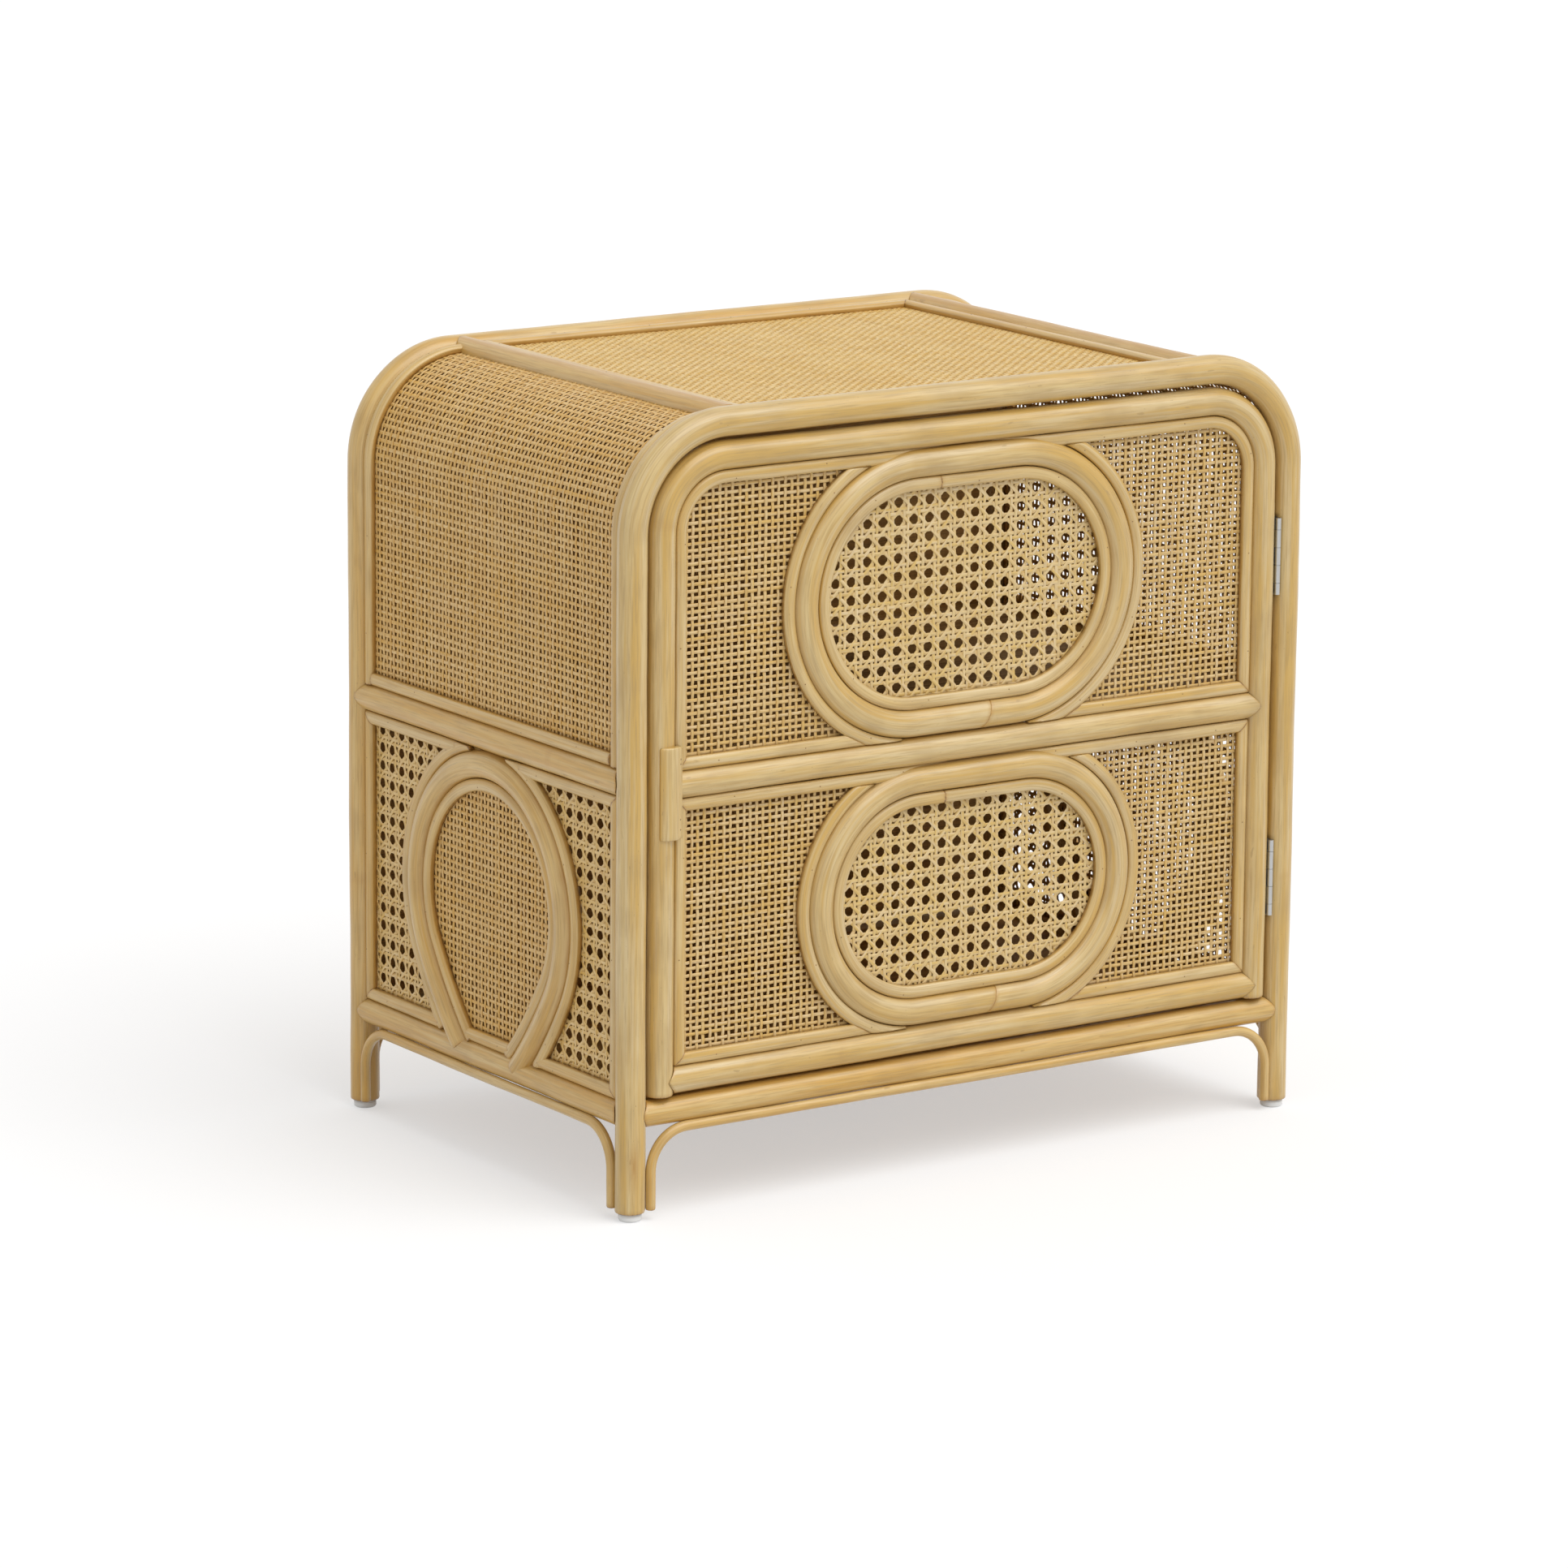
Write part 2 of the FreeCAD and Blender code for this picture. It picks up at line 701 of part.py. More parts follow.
lower_low = door_bottom_rail_z + rail_r
lower_high = door_mid_rail_z - rail_r
lower_bay = rectangle(-bay_half, bay_half, lower_low, lower_high)
lower_strips = square_beads(-bay_half, bay_half, lower_low, lower_high)
door_bay("lower", lower_bay, lower_strips, lower_low, lower_high, lower_ring_half_straight, lower_ring_shift)

# Door handle: a low half-round block coped over the free stile at the middle rail

handle_foot = door_mid_rail_z - handle_drop - handle_length / 2
handle_front = V(-door_x + handle_shift, front_y - pole_r - handle_proud, handle_foot)
handle_right = handle_front + V(handle_width / 2, handle_thick, 0)
handle_left = handle_front + V(-handle_width / 2, handle_thick, 0)
handle_edge = Y * -handle_side
handle_outline = Part.Wire([
    line(handle_left, handle_right),
    line(handle_right, handle_right + handle_edge),
    Part.Arc(handle_right + handle_edge, handle_front, handle_left + handle_edge).toShape(),
    line(handle_left + handle_edge, handle_left),
])
handle = Part.Face(handle_outline).extrude(Z * handle_length)
nodes["door_handle"] = handle.cut([door_arch, door_mid_rail, nodes["upper_bay_beads"], nodes["lower_bay_beads"]])

# One file for each node

os.makedirs("parts", exist_ok=True)
for name, shape in nodes.items():
    shape.exportStep("parts/" + name + ".step")
    print(name, len(shape.Solids), "solids", round(shape.Volume), "mm3", "valid" if shape.isValid() else "NOT VALID")
print(len(nodes), "nodes")
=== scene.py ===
import math

import bmesh
import bpy
import numpy as np
from mathutils import Matrix, Vector


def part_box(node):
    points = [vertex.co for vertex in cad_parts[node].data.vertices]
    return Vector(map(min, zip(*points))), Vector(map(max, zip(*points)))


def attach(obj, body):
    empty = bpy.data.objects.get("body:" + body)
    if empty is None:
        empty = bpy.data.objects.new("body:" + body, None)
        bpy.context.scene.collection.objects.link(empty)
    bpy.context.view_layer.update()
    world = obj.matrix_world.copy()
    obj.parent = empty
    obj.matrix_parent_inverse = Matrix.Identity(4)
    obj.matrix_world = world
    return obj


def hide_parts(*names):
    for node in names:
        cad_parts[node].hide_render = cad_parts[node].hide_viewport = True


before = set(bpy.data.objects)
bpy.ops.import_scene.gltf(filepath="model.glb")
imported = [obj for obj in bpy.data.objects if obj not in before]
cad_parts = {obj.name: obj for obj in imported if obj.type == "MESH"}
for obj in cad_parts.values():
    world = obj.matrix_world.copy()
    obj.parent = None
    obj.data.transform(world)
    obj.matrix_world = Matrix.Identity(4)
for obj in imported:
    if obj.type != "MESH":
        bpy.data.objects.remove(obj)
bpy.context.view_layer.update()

# Front and back arches. Each is one thick rattan pole, peeled and sanded, steamed and bent over two
# shoulders, so that it makes both legs and an edge of the top. The whole cabinet hangs between them.
arch_low, arch_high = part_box("front_arch")
pole_radius = (arch_high.y - arch_low.y) / 2
front_y = (arch_high.y + arch_low.y) / 2
back_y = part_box("back_arch")[1].y - pole_radius
middle_y = (front_y + back_y) / 2
half_depth = (back_y - front_y) / 2
leg_x = arch_high.x - pole_radius
top_z = arch_high.z - pole_radius
leg_foot = arch_low.z
arch_bend = 0.0875
hinge_length = 0.0664


def straight(start, end, step=0.004):
    """Points along a straight run of a flat line."""
    start = np.array(start, float)
    end = np.array(end, float)
    count = max(2, int(np.linalg.norm(end - start) / step) + 1)
    return start + (end - start) * np.linspace(0, 1, count)[:, None]


def bend(centre, radius, start, end, step=0.004):
    """Points round a bend of a flat line, from one angle to another in degrees."""
    count = max(3, int(abs(math.radians(end - start)) * radius / step) + 1)
    angle = np.radians(np.linspace(start, end, count))
    return np.array(centre) + radius * np.stack([np.cos(angle), np.sin(angle)], 1)


def joined(*runs):
    """Runs that follow each other made into one line."""
    return np.concatenate([runs[0]] + [run[1:] for run in runs[1:]])


def upturned_u(half, low, high, radius, stops=()):
    """A flat line up one leg, over the top and down the other, with extra points at some heights."""
    inner = half - radius
    shoulder = high - radius
    down = [(half, shoulder)] + [(half, v) for v in sorted(stops, reverse=True)] + [(half, low)]
    legs = [straight(a, b) for a, b in zip(down, down[1:])]
    return joined(
        straight((-half, low), (-half, shoulder)),
        bend((-inner, shoulder), radius, 180, 90),
        straight((-inner, high), (inner, high)),
        bend((inner, shoulder), radius, 90, 0),
        *legs,
    )


def front_plane(flat):
    """A flat drawing of (width, height, outward) stood up in the front."""
    return np.stack([flat[..., 0], front_y - flat[..., 2], flat[..., 1]], -1)


def back_plane(flat):
    """The same stood up in the back, facing out."""
    return np.stack([-flat[..., 0], back_y + flat[..., 2], flat[..., 1]], -1)


def headings(line):
    """Which way a flat line runs at each of its points."""
    ahead = np.gradient(line, axis=0)
    return ahead / np.linalg.norm(ahead, axis=1)[:, None]


def skin(rings, around):
    """The faces of a tube of so many rings of so many points: its sides, and a fan round the middle of each
    end. The two middles come after the last ring."""
    index = np.arange(rings * around).reshape(rings, around)
    here, there = index[:-1], index[1:]
    quads = np.stack([here, np.roll(here, -1, 1), np.roll(there, -1, 1), there], -1).reshape(-1, 4)
    first = np.stack([np.full(around, index.size), np.roll(index[0], -1), index[0]], 1)
    last = np.stack([np.full(around, index.size + 1), index[-1], np.roll(index[-1], -1)], 1)
    return quads, np.concatenate([first, last])


def sweep(line, profile):
    """Carries profiles of (sideways, outward) along a flat line, one for each of its points. Gives the points
    and the faces of a closed tube."""
    ahead = headings(line)
    side = np.stack([-ahead[:, 1], ahead[:, 0]], 1)
    flat = line[:, None, :] + side[:, None, :] * profile[:, :, :1]
    rings = np.concatenate([flat, profile[:, :, 1:]], 2)
    points = np.concatenate([rings.reshape(-1, 3), [rings[0].mean(0), rings[-1].mean(0)]])
    return points, *skin(*rings.shape[:2])


def slide(points, line, shift):
    """Moves the points of a sweep along its line, each by its own shift."""
    rings, around = shift.shape
    points[:-2, :2] += (shift[:, :, None] * headings(line)[:, None, :]).reshape(-1, 2)
    points[-2] = points[:around].mean(0)
    points[-1] = points[(rings - 1) * around:-2].mean(0)


def distances(line):
    """How far along a flat line each of its points is."""
    return np.concatenate([[0], np.cumsum(np.linalg.norm(np.diff(line, axis=0), axis=1))])


def eased(line):
    """A flat line with two more points close to each end, for a crisp edge there."""
    ease = np.array([0.0004, 0.0013])[:, None]
    head = line[1] - line[0]
    tail = line[-2] - line[-1]
    head = line[0] + head / np.linalg.norm(head) * ease
    tail = line[-1] + tail / np.linalg.norm(tail) * ease[::-1]
    return np.concatenate([line[:1], head, line[1:-1], tail, line[-1:]])


def grain_on(along, across, outward):
    """Where each point of a sweep lies in the grain, with the middles of the two ends last."""
    grain = np.stack(np.broadcast_arrays(along[:, None], across, outward), -1).reshape(-1, 3)
    return np.concatenate([grain, [[along[0], 0, 0], [along[-1], 0, 0]]])


def pole(line, radius, plane, seed, outward=0.0, stain_and_shade=(0.0, 0.0), crevice=0.75, scarf=0.0):
    """A rattan pole along a flat line: nearly round and true, with brown marks where the cane had its joints,
    painted shade in the crevices on its left and right, and a dark hair line at a cut end. The ends of a ring
    meet in a slanted scarf. The grain follows the pole."""
    around = 32
    held_run = 0.06
    scarf_run = 0.05
    joint_spacing = 0.31
    joint_stray = 0.06
    joint_mark = 0.004
    crevice_edge = 0.15
    rng = np.random.default_rng(seed)
    line = eased(line)
    along = distances(line)
    length = along[-1]

    def wave(spacing):
        """A slow swing along the pole, the same at both its ends."""
        turns = max(1, round(length / spacing))
        return np.sin(2 * math.pi * turns * along / length + rng.uniform(0, 6))

    from_end = np.minimum(along, length - along)
    held = np.minimum(1, from_end / held_run)
    size = radius + 0.00010 * wave(0.23) + 0.00006 * wave(0.071)
    sway = np.stack([0.0001 * wave(0.31) * held, outward + 0.0003 * wave(0.27) * held], 1)
    rounding = np.array([0.0003, 0.0001, 0.0] if scarf else [0.0010, 0.0003, 0.0])
    size[:3] -= rounding
    size[-3:] -= rounding[::-1]
    angle = np.linspace(0, 2 * math.pi, around, endpoint=False)
    section = np.stack([np.cos(angle), np.sin(angle)], 1)
    profile = size[:, None, None] * section[None] + sway[:, None, :]
    points, quads, tris = sweep(line, profile)
    slide(points, line, scarf * profile[:, :, 0] * np.maximum(0, 1 - from_end / scarf_run)[:, None])
    shade = np.zeros((len(line), around))
    for joint in np.arange(rng.uniform(0.05, 0.25), length, joint_spacing):
        place = joint + rng.uniform(-joint_stray, joint_stray)
        facing = (0.5 + 0.5 * np.cos(angle - rng.uniform(0, 6))) ** 2
        mark = np.exp(-((along - place) / joint_mark) ** 2)
        shade += rng.uniform(0.05, 0.28) * mark[:, None] * facing[None]
    # Painted shade: the flanks beside beads and other poles are darkened, as a crevice in shade would be.
    for cosine, darkening in ((section[:, 0], stain_and_shade[0]), (-section[:, 0], stain_and_shade[1])):
        shade += darkening * np.clip((cosine - crevice) / crevice_edge, 0, 1)
    shade[[0, 1, -2, -1]] = 0.6 if scarf else 1.0
    shade[[2, -3]] = np.maximum(shade[[2, -3]], 0.3)
    grain = grain_on(along + rng.uniform(0, 40), *(radius * section.T))
    return plane(points), quads, tris, grain, np.concatenate([shade.ravel(), [0.3, 0.3]])


def facing_out(part):
    """A closed part with its faces turned outward."""
    points, quads, tris, grain, shade = part
    a, b, c, d = (points[quads[:, k]] for k in range(4))
    volume = (np.cross(a, b) * c).sum() + (np.cross(a, c) * d).sum()
    volume += (np.cross(points[tris[:, 0]], points[tris[:, 1]]) * points[tris[:, 2]]).sum()
    if volume < 0:
        quads, tris = quads[:, ::-1], tris[:, ::-1]
    return points, quads, tris, grain, shade


def together(parts):
    """Closed parts put together as one."""
    parts = [facing_out(part) for part in parts]
    starts = np.cumsum([0] + [len(part[0]) for part in parts])[:-1]
    points, grain, shade = (np.concatenate([part[k] for part in parts]) for k in (0, 3, 4))
    quads, tris = (np.concatenate([part[k] + start for part, start in zip(parts, starts)]) for k in (1, 2))
    return points, quads, tris, grain, shade


def piece(name, parts, body, slot, material, *nodes):
    """One object made of closed parts, that rides on a body and stands for some nodes."""
    points, quads, tris, grain, shade = together(parts)
    corners = np.concatenate([quads.ravel(), tris.ravel()]).astype(np.int32)
    starts = np.concatenate([np.arange(len(quads)) * 4, len(quads) * 4 + np.arange(len(tris)) * 3])
    mesh = bpy.data.meshes.new(name)
    mesh.vertices.add(len(points))
    mesh.vertices.foreach_set("co", points.astype(np.float32).ravel())
    mesh.loops.add(len(corners))
    mesh.loops.foreach_set("vertex_index", corners)
    mesh.polygons.add(len(starts))
    mesh.polygons.foreach_set("loop_start", starts.astype(np.int32))
    mesh.polygons.foreach_set("use_smooth", np.ones(len(starts), bool))
    mesh.update(calc_edges=True)
    grains = mesh.attributes.new("grain", "FLOAT_VECTOR", "POINT")
    grains.data.foreach_set("vector", grain.astype(np.float32).ravel())
    shades = mesh.attributes.new("shade", "FLOAT", "POINT")
    shades.data.foreach_set("value", shade.astype(np.float32))
    made = bpy.data.objects.new(name, mesh)
    bpy.context.scene.collection.objects.link(made)
    mesh.materials.append(material)
    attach(made, body)
    if nodes:
        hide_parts(*nodes)


def wire(node, inputs):
    """Gives sockets of a node, by name or number, a number, a colour, or a link from another socket."""
    for key, value in inputs.items():
        socket = node.inputs[key]
        if isinstance(value, bpy.types.NodeSocket):
            node.id_data.links.new(value, socket)
        else:
            socket.default_value = value + (1,) if socket.type == "RGBA" else value


def added(tree, kind, inputs=None, **settings):
    """A new shader node with its settings and inputs."""
    node = tree.nodes.new("ShaderNode" + kind)
    for setting, value in settings.items():
        setattr(node, setting, value)
    wire(node, inputs or {})
    return node


def new_material(name):
    """A material with its node tree and its shader."""
    material = bpy.data.materials.new(name)
    material.use_nodes = True
    return material, material.node_tree, material.node_tree.nodes["Principled BSDF"]


def spread(value, low, high, most=1.0, least=0.0):
    """A value stretched from one range to another."""
    inputs = {"Value": value, "From Min": low, "From Max": high, "To Min": least, "To Max": most}
    return added(value.id_data, "MapRange", inputs).outputs["Result"]


def noise(place, stretch, detail):
    """A cloudy value, stretched by so much each way."""
    drawn = added(place.id_data, "Mapping", {"Vector": place, "Scale": stretch}).outputs["Vector"]
    return added(place.id_data, "TexNoise", {"Vector": drawn, "Scale": 1, "Detail": detail}).outputs[0]


def mixed(factor, first, second):
    """A colour or a socket, mixed with another by a factor."""
    return added(factor.id_data, "Mix", {0: factor, 6: first, 7: second}, data_type="RGBA").outputs[2]


def bumped(height, strength, distance):
    """A fine relief made from a height."""
    inputs = {"Height": height, "Strength": strength, "Distance": distance}
    return added(height.id_data, "Bump", inputs).outputs["Normal"]


def rattan(name, pale, warm, dark, fibres, across, bump, rough, coat):
    """Lacquered rattan: long fibres in two tones with amber and grey bands, browner clouds, fine dark
    streaks, pits and knots. The shade attribute darkens it, amber brown first and then dark: real joint
    marks, scuffs, pins and dark joints, and painted shade in crevices and under crossing strips. The fibres
    are so many to the metre, along and across the grain."""
    material, tree, shader = new_material(name)
    grain = added(tree, "Attribute", attribute_name="grain").outputs["Vector"]
    shade = added(tree, "Attribute", attribute_name="shade").outputs["Fac"]
    brown = tuple(0.62 * w + 0.38 * d for w, d in zip(warm, dark))
    # Colours that the shade attribute mixes in: amber brown for light real marks and for painted shade, then
    # dark.
    stain_and_shade = (warm[0] * 0.82, warm[1] * 0.70, warm[2] * 0.50)
    amber = (warm[0], warm[1] * 0.90, warm[2] * 0.50)
    grey = (pale[0] * 0.97, pale[1] * 1.01, pale[2] * 1.22)

    def streaks(along, sideways, detail, low, high, most=1.0, least=0.0):
        """A value that is drawn out along the grain, from its least to its most."""
        return spread(noise(grain, (along, sideways, sideways), detail), low, high, most, least)

    fibre = streaks(fibres, across, 5, 0.3, 0.7)
    colour = mixed(fibre, warm, pale)
    for tone, *drawn in (
        (amber, fibres / 3, across / 3, 3, 0.45, 0.60, 0.80),
        (grey, fibres / 2.5, across / 2, 2, 0.50, 0.64, 0.60),
        (brown, fibres * 1.5, across / 12, 3, 0.50, 0.75, 0.45),
        (brown, fibres * 2.5, across * 2.2, 2, 0.48, 0.68, 0.50),
        (brown, fibres * 4.5, across * 0.6, 1, 0.75, 0.79, 0.60),
        (dark, fibres * 18, across * 4, 2, 0.73, 0.79, 0.65),
    ):
        colour = mixed(streaks(*drawn), colour, tone)
    patchy = streaks(60, 500, 4, 0.3, 0.6, 1.0, 0.4)
    # The shade attribute, broken up by noise, darkens the colour: real marks and dark joints, and painted
    # shade.
    darkening = added(tree, "Math", {0: shade, 1: patchy}, operation="MULTIPLY").outputs[0]
    colour = mixed(spread(darkening, 0.0, 0.5), colour, stain_and_shade)
    colour = mixed(spread(darkening, 0.5, 1.0), colour, dark)
    wire(shader, {
        "Base Color": colour,
        "Roughness": spread(fibre, 0.0, 1.0, rough, rough + 0.14),
        "Normal": bumped(fibre, bump, 0.0004),
        "Specular IOR Level": 0.5,
        "Coat Weight": coat,
        "Coat Roughness": 0.28,
    })
    return material


pole_skin = dict(fibres=13, across=330, bump=0.3, rough=0.34, coat=0.5)
pole_finish = rattan(
    "pole_rattan", (0.67, 0.467, 0.172), (0.575, 0.354, 0.099), (0.12, 0.050, 0.010), **pole_skin)
# A paler, whiter copy of the pole finish for the pieces in front: painted light for the lamp they face. The
# pole finish above is the shaded copy for the sides and back.
front_lit_pole = rattan(
    "front_lit_pole_rattan", (0.67, 0.505, 0.232), (0.575, 0.386, 0.138), (0.12, 0.052, 0.012), **pole_skin)


def pole_piece(node, part, body="carcass", finish=pole_finish):
    """A pole as a piece that stands for its node."""
    piece(node + "_pole", [part], body, "rattan_pole", finish, node)


leaf_low, leaf_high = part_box("hinge_frame_leaves")
leaf_spans = [(leaf_low.z, leaf_low.z + hinge_length), (leaf_high.z - hinge_length, leaf_high.z)]
ledge = 0.0001
leaf_stops = [z + step for span in leaf_spans for z in span for step in (-ledge, ledge)]


def let_in(part, flat, cut):
    """Cuts the two flats for the hinge leaves into the right side of a pole."""
    points = part[0]
    for low, high in leaf_spans:
        seat = (points[:, 2] > low) & (points[:, 2] < high) & (points[:, 0] > 0)
        points[seat, 0] = cut(points[seat, 0], flat)


front_pole = pole(upturned_u(leg_x, leg_foot, top_z, arch_bend, leaf_stops), pole_radius, front_plane, 11,
                  stain_and_shade=(0, 0.3), crevice=0.82)
scuff_x = -leg_x - 0.004
scuff_z = 0.047
scuff_width = 0.003
scuff_height = 0.02
scuff_stain = 0.6
x, y, z = front_pole[0].T
scuffed = np.exp(-((x - scuff_x) / scuff_width) ** 2 - ((z - scuff_z) / scuff_height) ** 2)
front_pole[4][:] += scuff_stain * scuffed * (y < front_y)
let_in(front_pole, leaf_high.x, np.maximum)
pole_piece("front_arch", front_pole, finish=front_lit_pole)
back_pole = pole(upturned_u(leg_x, leg_foot, top_z, arch_bend), pole_radius, back_plane, 12,
                 stain_and_shade=(0, 0.3), crevice=0.82)
pole_piece("back_arch", back_pole)

# Floor glides. White moulded plastic feet with a soft lower rim, one under the foot of each leg. Each is
# tapped by its peg into the end of the pole.
glide_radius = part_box("floor_glides")[1].x - leg_x
glide_height = leg_foot
glide_round = 0.0022
glide_sole = glide_radius - 0.006


def turned(profile, centre, around=40):
    """A piece turned on a lathe about an upright line: points of (radius, height) from bottom to top."""
    angle = np.linspace(0, 2 * math.pi, around, endpoint=False)
    rings = [np.stack([r * np.cos(angle), r * np.sin(angle), np.full(around, z)], 1) for r, z in profile]
    points = np.concatenate(rings + [[[0, 0, profile[0][1]], [0, 0, profile[-1][1]]]])
    return points + np.array(centre), *skin(len(rings), around), points, np.zeros(len(points))


def moulded(name, colour, grime, rough):
    """Moulded plastic: a fine orange-peel skin and a little grime in patches."""
    material, tree, shader = new_material(name)
    place = added(tree, "TexCoord").outputs["Object"]
    wire(shader, {
        "Base Color": mixed(noise(place, (90, 90, 90), 2), colour, grime),
        "Roughness": rough,
        "Normal": bumped(noise(place, (1400, 1400, 1400), 2), 0.15, 0.0003),
    })
    return material


glide_plastic = moulded("glide_plastic", (0.86, 0.86, 0.85), (0.76, 0.76, 0.74), 0.42)
rim = [
    (glide_radius - glide_round + glide_round * math.sin(a), glide_round - glide_round * math.cos(a))
    for a in np.radians(np.linspace(0, 90, 7))
]
glide_top = [(glide_radius, glide_height - 0.0003), (0.003, glide_height)]
glide_turning = [(glide_sole, 0.0)] + rim + glide_top
glides = [turned(glide_turning, (x, y, 0)) for x in (-leg_x, leg_x) for y in (front_y, back_y)]
piece("glides", glides, "carcass", "glide_plastic", glide_plastic, "floor_glides")

# Rails. Straight rattan poles between the legs, hollowed at both ends to sit round the pole they meet,
# glued and nailed, with a hair of dark gap at each joint.
joint_gap = 0.0003
rail_low, rail_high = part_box("left_mid_rail")
rail_radius = (rail_high.z - rail_low.z) / 2
mid_rail_z = (rail_high.z + rail_low.z) / 2
bottom_low, bottom_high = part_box("left_bottom_rail")
bottom_radius = (bottom_high.z - bottom_low.z) / 2
bottom_rail_z = (bottom_high.z + bottom_low.z) / 2
top_rail_low, top_rail_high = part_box("right_top_rail")
top_rail_x = (top_rail_low.x + top_rail_high.x) / 2


def left_plane(flat):
    """A flat drawing of (depth, height, outward) stood up in the left side."""
    return np.stack([-leg_x - flat[..., 2], middle_y - flat[..., 0], flat[..., 1]], -1)


def right_plane(flat):
    """The same in the right side."""
    return left_plane(flat) * np.array([-1, 1, 1])


def as_drawn(flat):
    """A flat drawing left as it is."""
    return flat


def rail(plane, half, height, radius, post, seed, over=False):
    """A straight pole between two posts. Its ends are hollowed round upright posts, or level ones."""
    line = straight((-half, height), (half, height))
    points, *rest = pole(line, radius, as_drawn, seed, stain_and_shade=(0.4, 0.4))
    offset = points[:, 1] - height if over else points[:, 2]
    reach = half - np.sqrt(np.maximum(post ** 2 - offset ** 2, 0)) - joint_gap
    points[:, 0] *= reach / half
    return plane(points), *rest


for side, plane, seed in (("front", front_plane, 21), ("back", back_plane, 22)):
    pole_piece(side + "_bottom_rail", rail(plane, leg_x, bottom_rail_z, bottom_radius, pole_radius, seed))
back_rail = rail(back_plane, leg_x, mid_rail_z, rail_radius, pole_radius, 23)
# The inner half of the back middle rail is darkened: painted shade inside the cabinet.
inner_painted_shade = 0.6
back_rail[4][back_rail[0][:, 1] < back_y] = inner_painted_shade
pole_piece("back_mid_rail", back_rail)
for side, plane, seed in (("left", left_plane, 24), ("right", right_plane, 28)):
    low_rail = rail(plane, half_depth, bottom_rail_z, bottom_radius, pole_radius, seed)
    pole_piece(side + "_bottom_rail", low_rail)
    pole_piece(side + "_mid_rail", rail(plane, half_depth, mid_rail_z, rail_radius, pole_radius, seed + 1))
    inward = np.array([leg_x - top_rail_x if side == "left" else top_rail_x - leg_x, 0, 0])
    points, *rest = rail(plane, half_depth, top_z, rail_radius, pole_radius, seed + 2, over=True)
    pole_piece(side + "_top_rail", (points + inward, *rest))

# Braces. Thin rattan poles, each bent to run under a bottom rail and down the inside of two legs, and
# pinned through at the feet.
brace_low, brace_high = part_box("front_brace")
brace_radius = (brace_high.y - brace_low.y) / 2
brace_out = pole_radius - brace_radius
brace_bend = 0.035
brace_top = brace_high.z - brace_radius
side_brace_low, side_brace_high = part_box("left_brace")
front_reach = (brace_high.x - brace_low.x) / 2 - brace_radius
side_reach = (side_brace_high.y - side_brace_low.y) / 2 - brace_radius
for node, plane, reach, seed in (
    ("front_brace", front_plane, front_reach, 31),
    ("back_brace", back_plane, front_reach, 32),
    ("left_brace", left_plane, side_reach, 33),
    ("right_brace", right_plane, side_reach, 34),
):
    line = upturned_u(reach, brace_low.z, brace_top, brace_bend)
    pole_piece(node, pole(line, brace_radius, plane, seed, brace_out))

# Top. A board let in between the poles carries a mat woven close from flat rattan strip; the board is near
# black, painted shade for the dark seen through the mat. Four split beads, mitred at the corners, are pinned
# round the edge to hide the cut ends.
mat_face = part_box("top_mat")[1].z
webbing = 0.0016
bead_width = 0.010
bead_height = 0.0065
bead_side = 0.0036


def ramped(value, first, second, low=0.0, high=1.0):
    """A run from one colour to another between two values."""
    ramp = added(value.id_data, "ValToRGB", {"Fac": value})
    for element, place, colour in zip(ramp.color_ramp.elements, (low, high), (first, second)):
        element.position = place
        element.color = colour + (1,)
    return ramp.outputs["Color"]


def stained_board(name, pale, dark, stretch, rough):
    """Thin stained plywood: a figure drawn out along one way, with fine open pores."""
    material, tree, shader = new_material(name)
    place = added(tree, "TexCoord").outputs["Object"]
    figure = ramped(noise(place, stretch, 6), dark, pale, 0.35, 0.68)
    pores = noise(place, tuple(5 * s if s < 20 else 11 * s for s in stretch), 3)
    pore_colour = tuple(0.62 * d for d in dark)
    wire(shader, {
        "Base Color": mixed(spread(pores, 0.48, 0.70, 0.75), figure, pore_colour),
        "Roughness": rough,
        "Normal": bumped(pores, 0.2, 0.0003),
    })
    return material


def finish_node(node, material):
    """A solid of the frame that keeps its shape and gets its own finish."""
    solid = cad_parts[node]
    solid.data.materials.clear()
    solid.data.materials.append(material)


plywood = stained_board("stained_plywood", (0.67, 0.385, 0.112), (0.49, 0.262, 0.060), (6, 90, 90), 0.6)
# Near black, painted shade: the top board shows only through the gaps of the mat.
painted_shade_plywood = stained_board("painted_shade_plywood", (0.17, 0.09, 0.035), (0.09, 0.045, 0.017), (6, 90, 90), 0.7)
finish_node("top_board", painted_shade_plywood)


def pin_heads(spots, plane, radius=0.0006):
    """The small dark heads of pins at places of (width, height, outward) on a flat drawing."""
    heads = []
    for spot in spots:
        points, quads, tris, grain, shade = turned(
            [(radius, -0.0004), (radius, 0.00005), (radius * 0.6, 0.00012)], spot, 8)
        heads.append((plane(points), quads, tris, grain, shade + 1))
    return heads


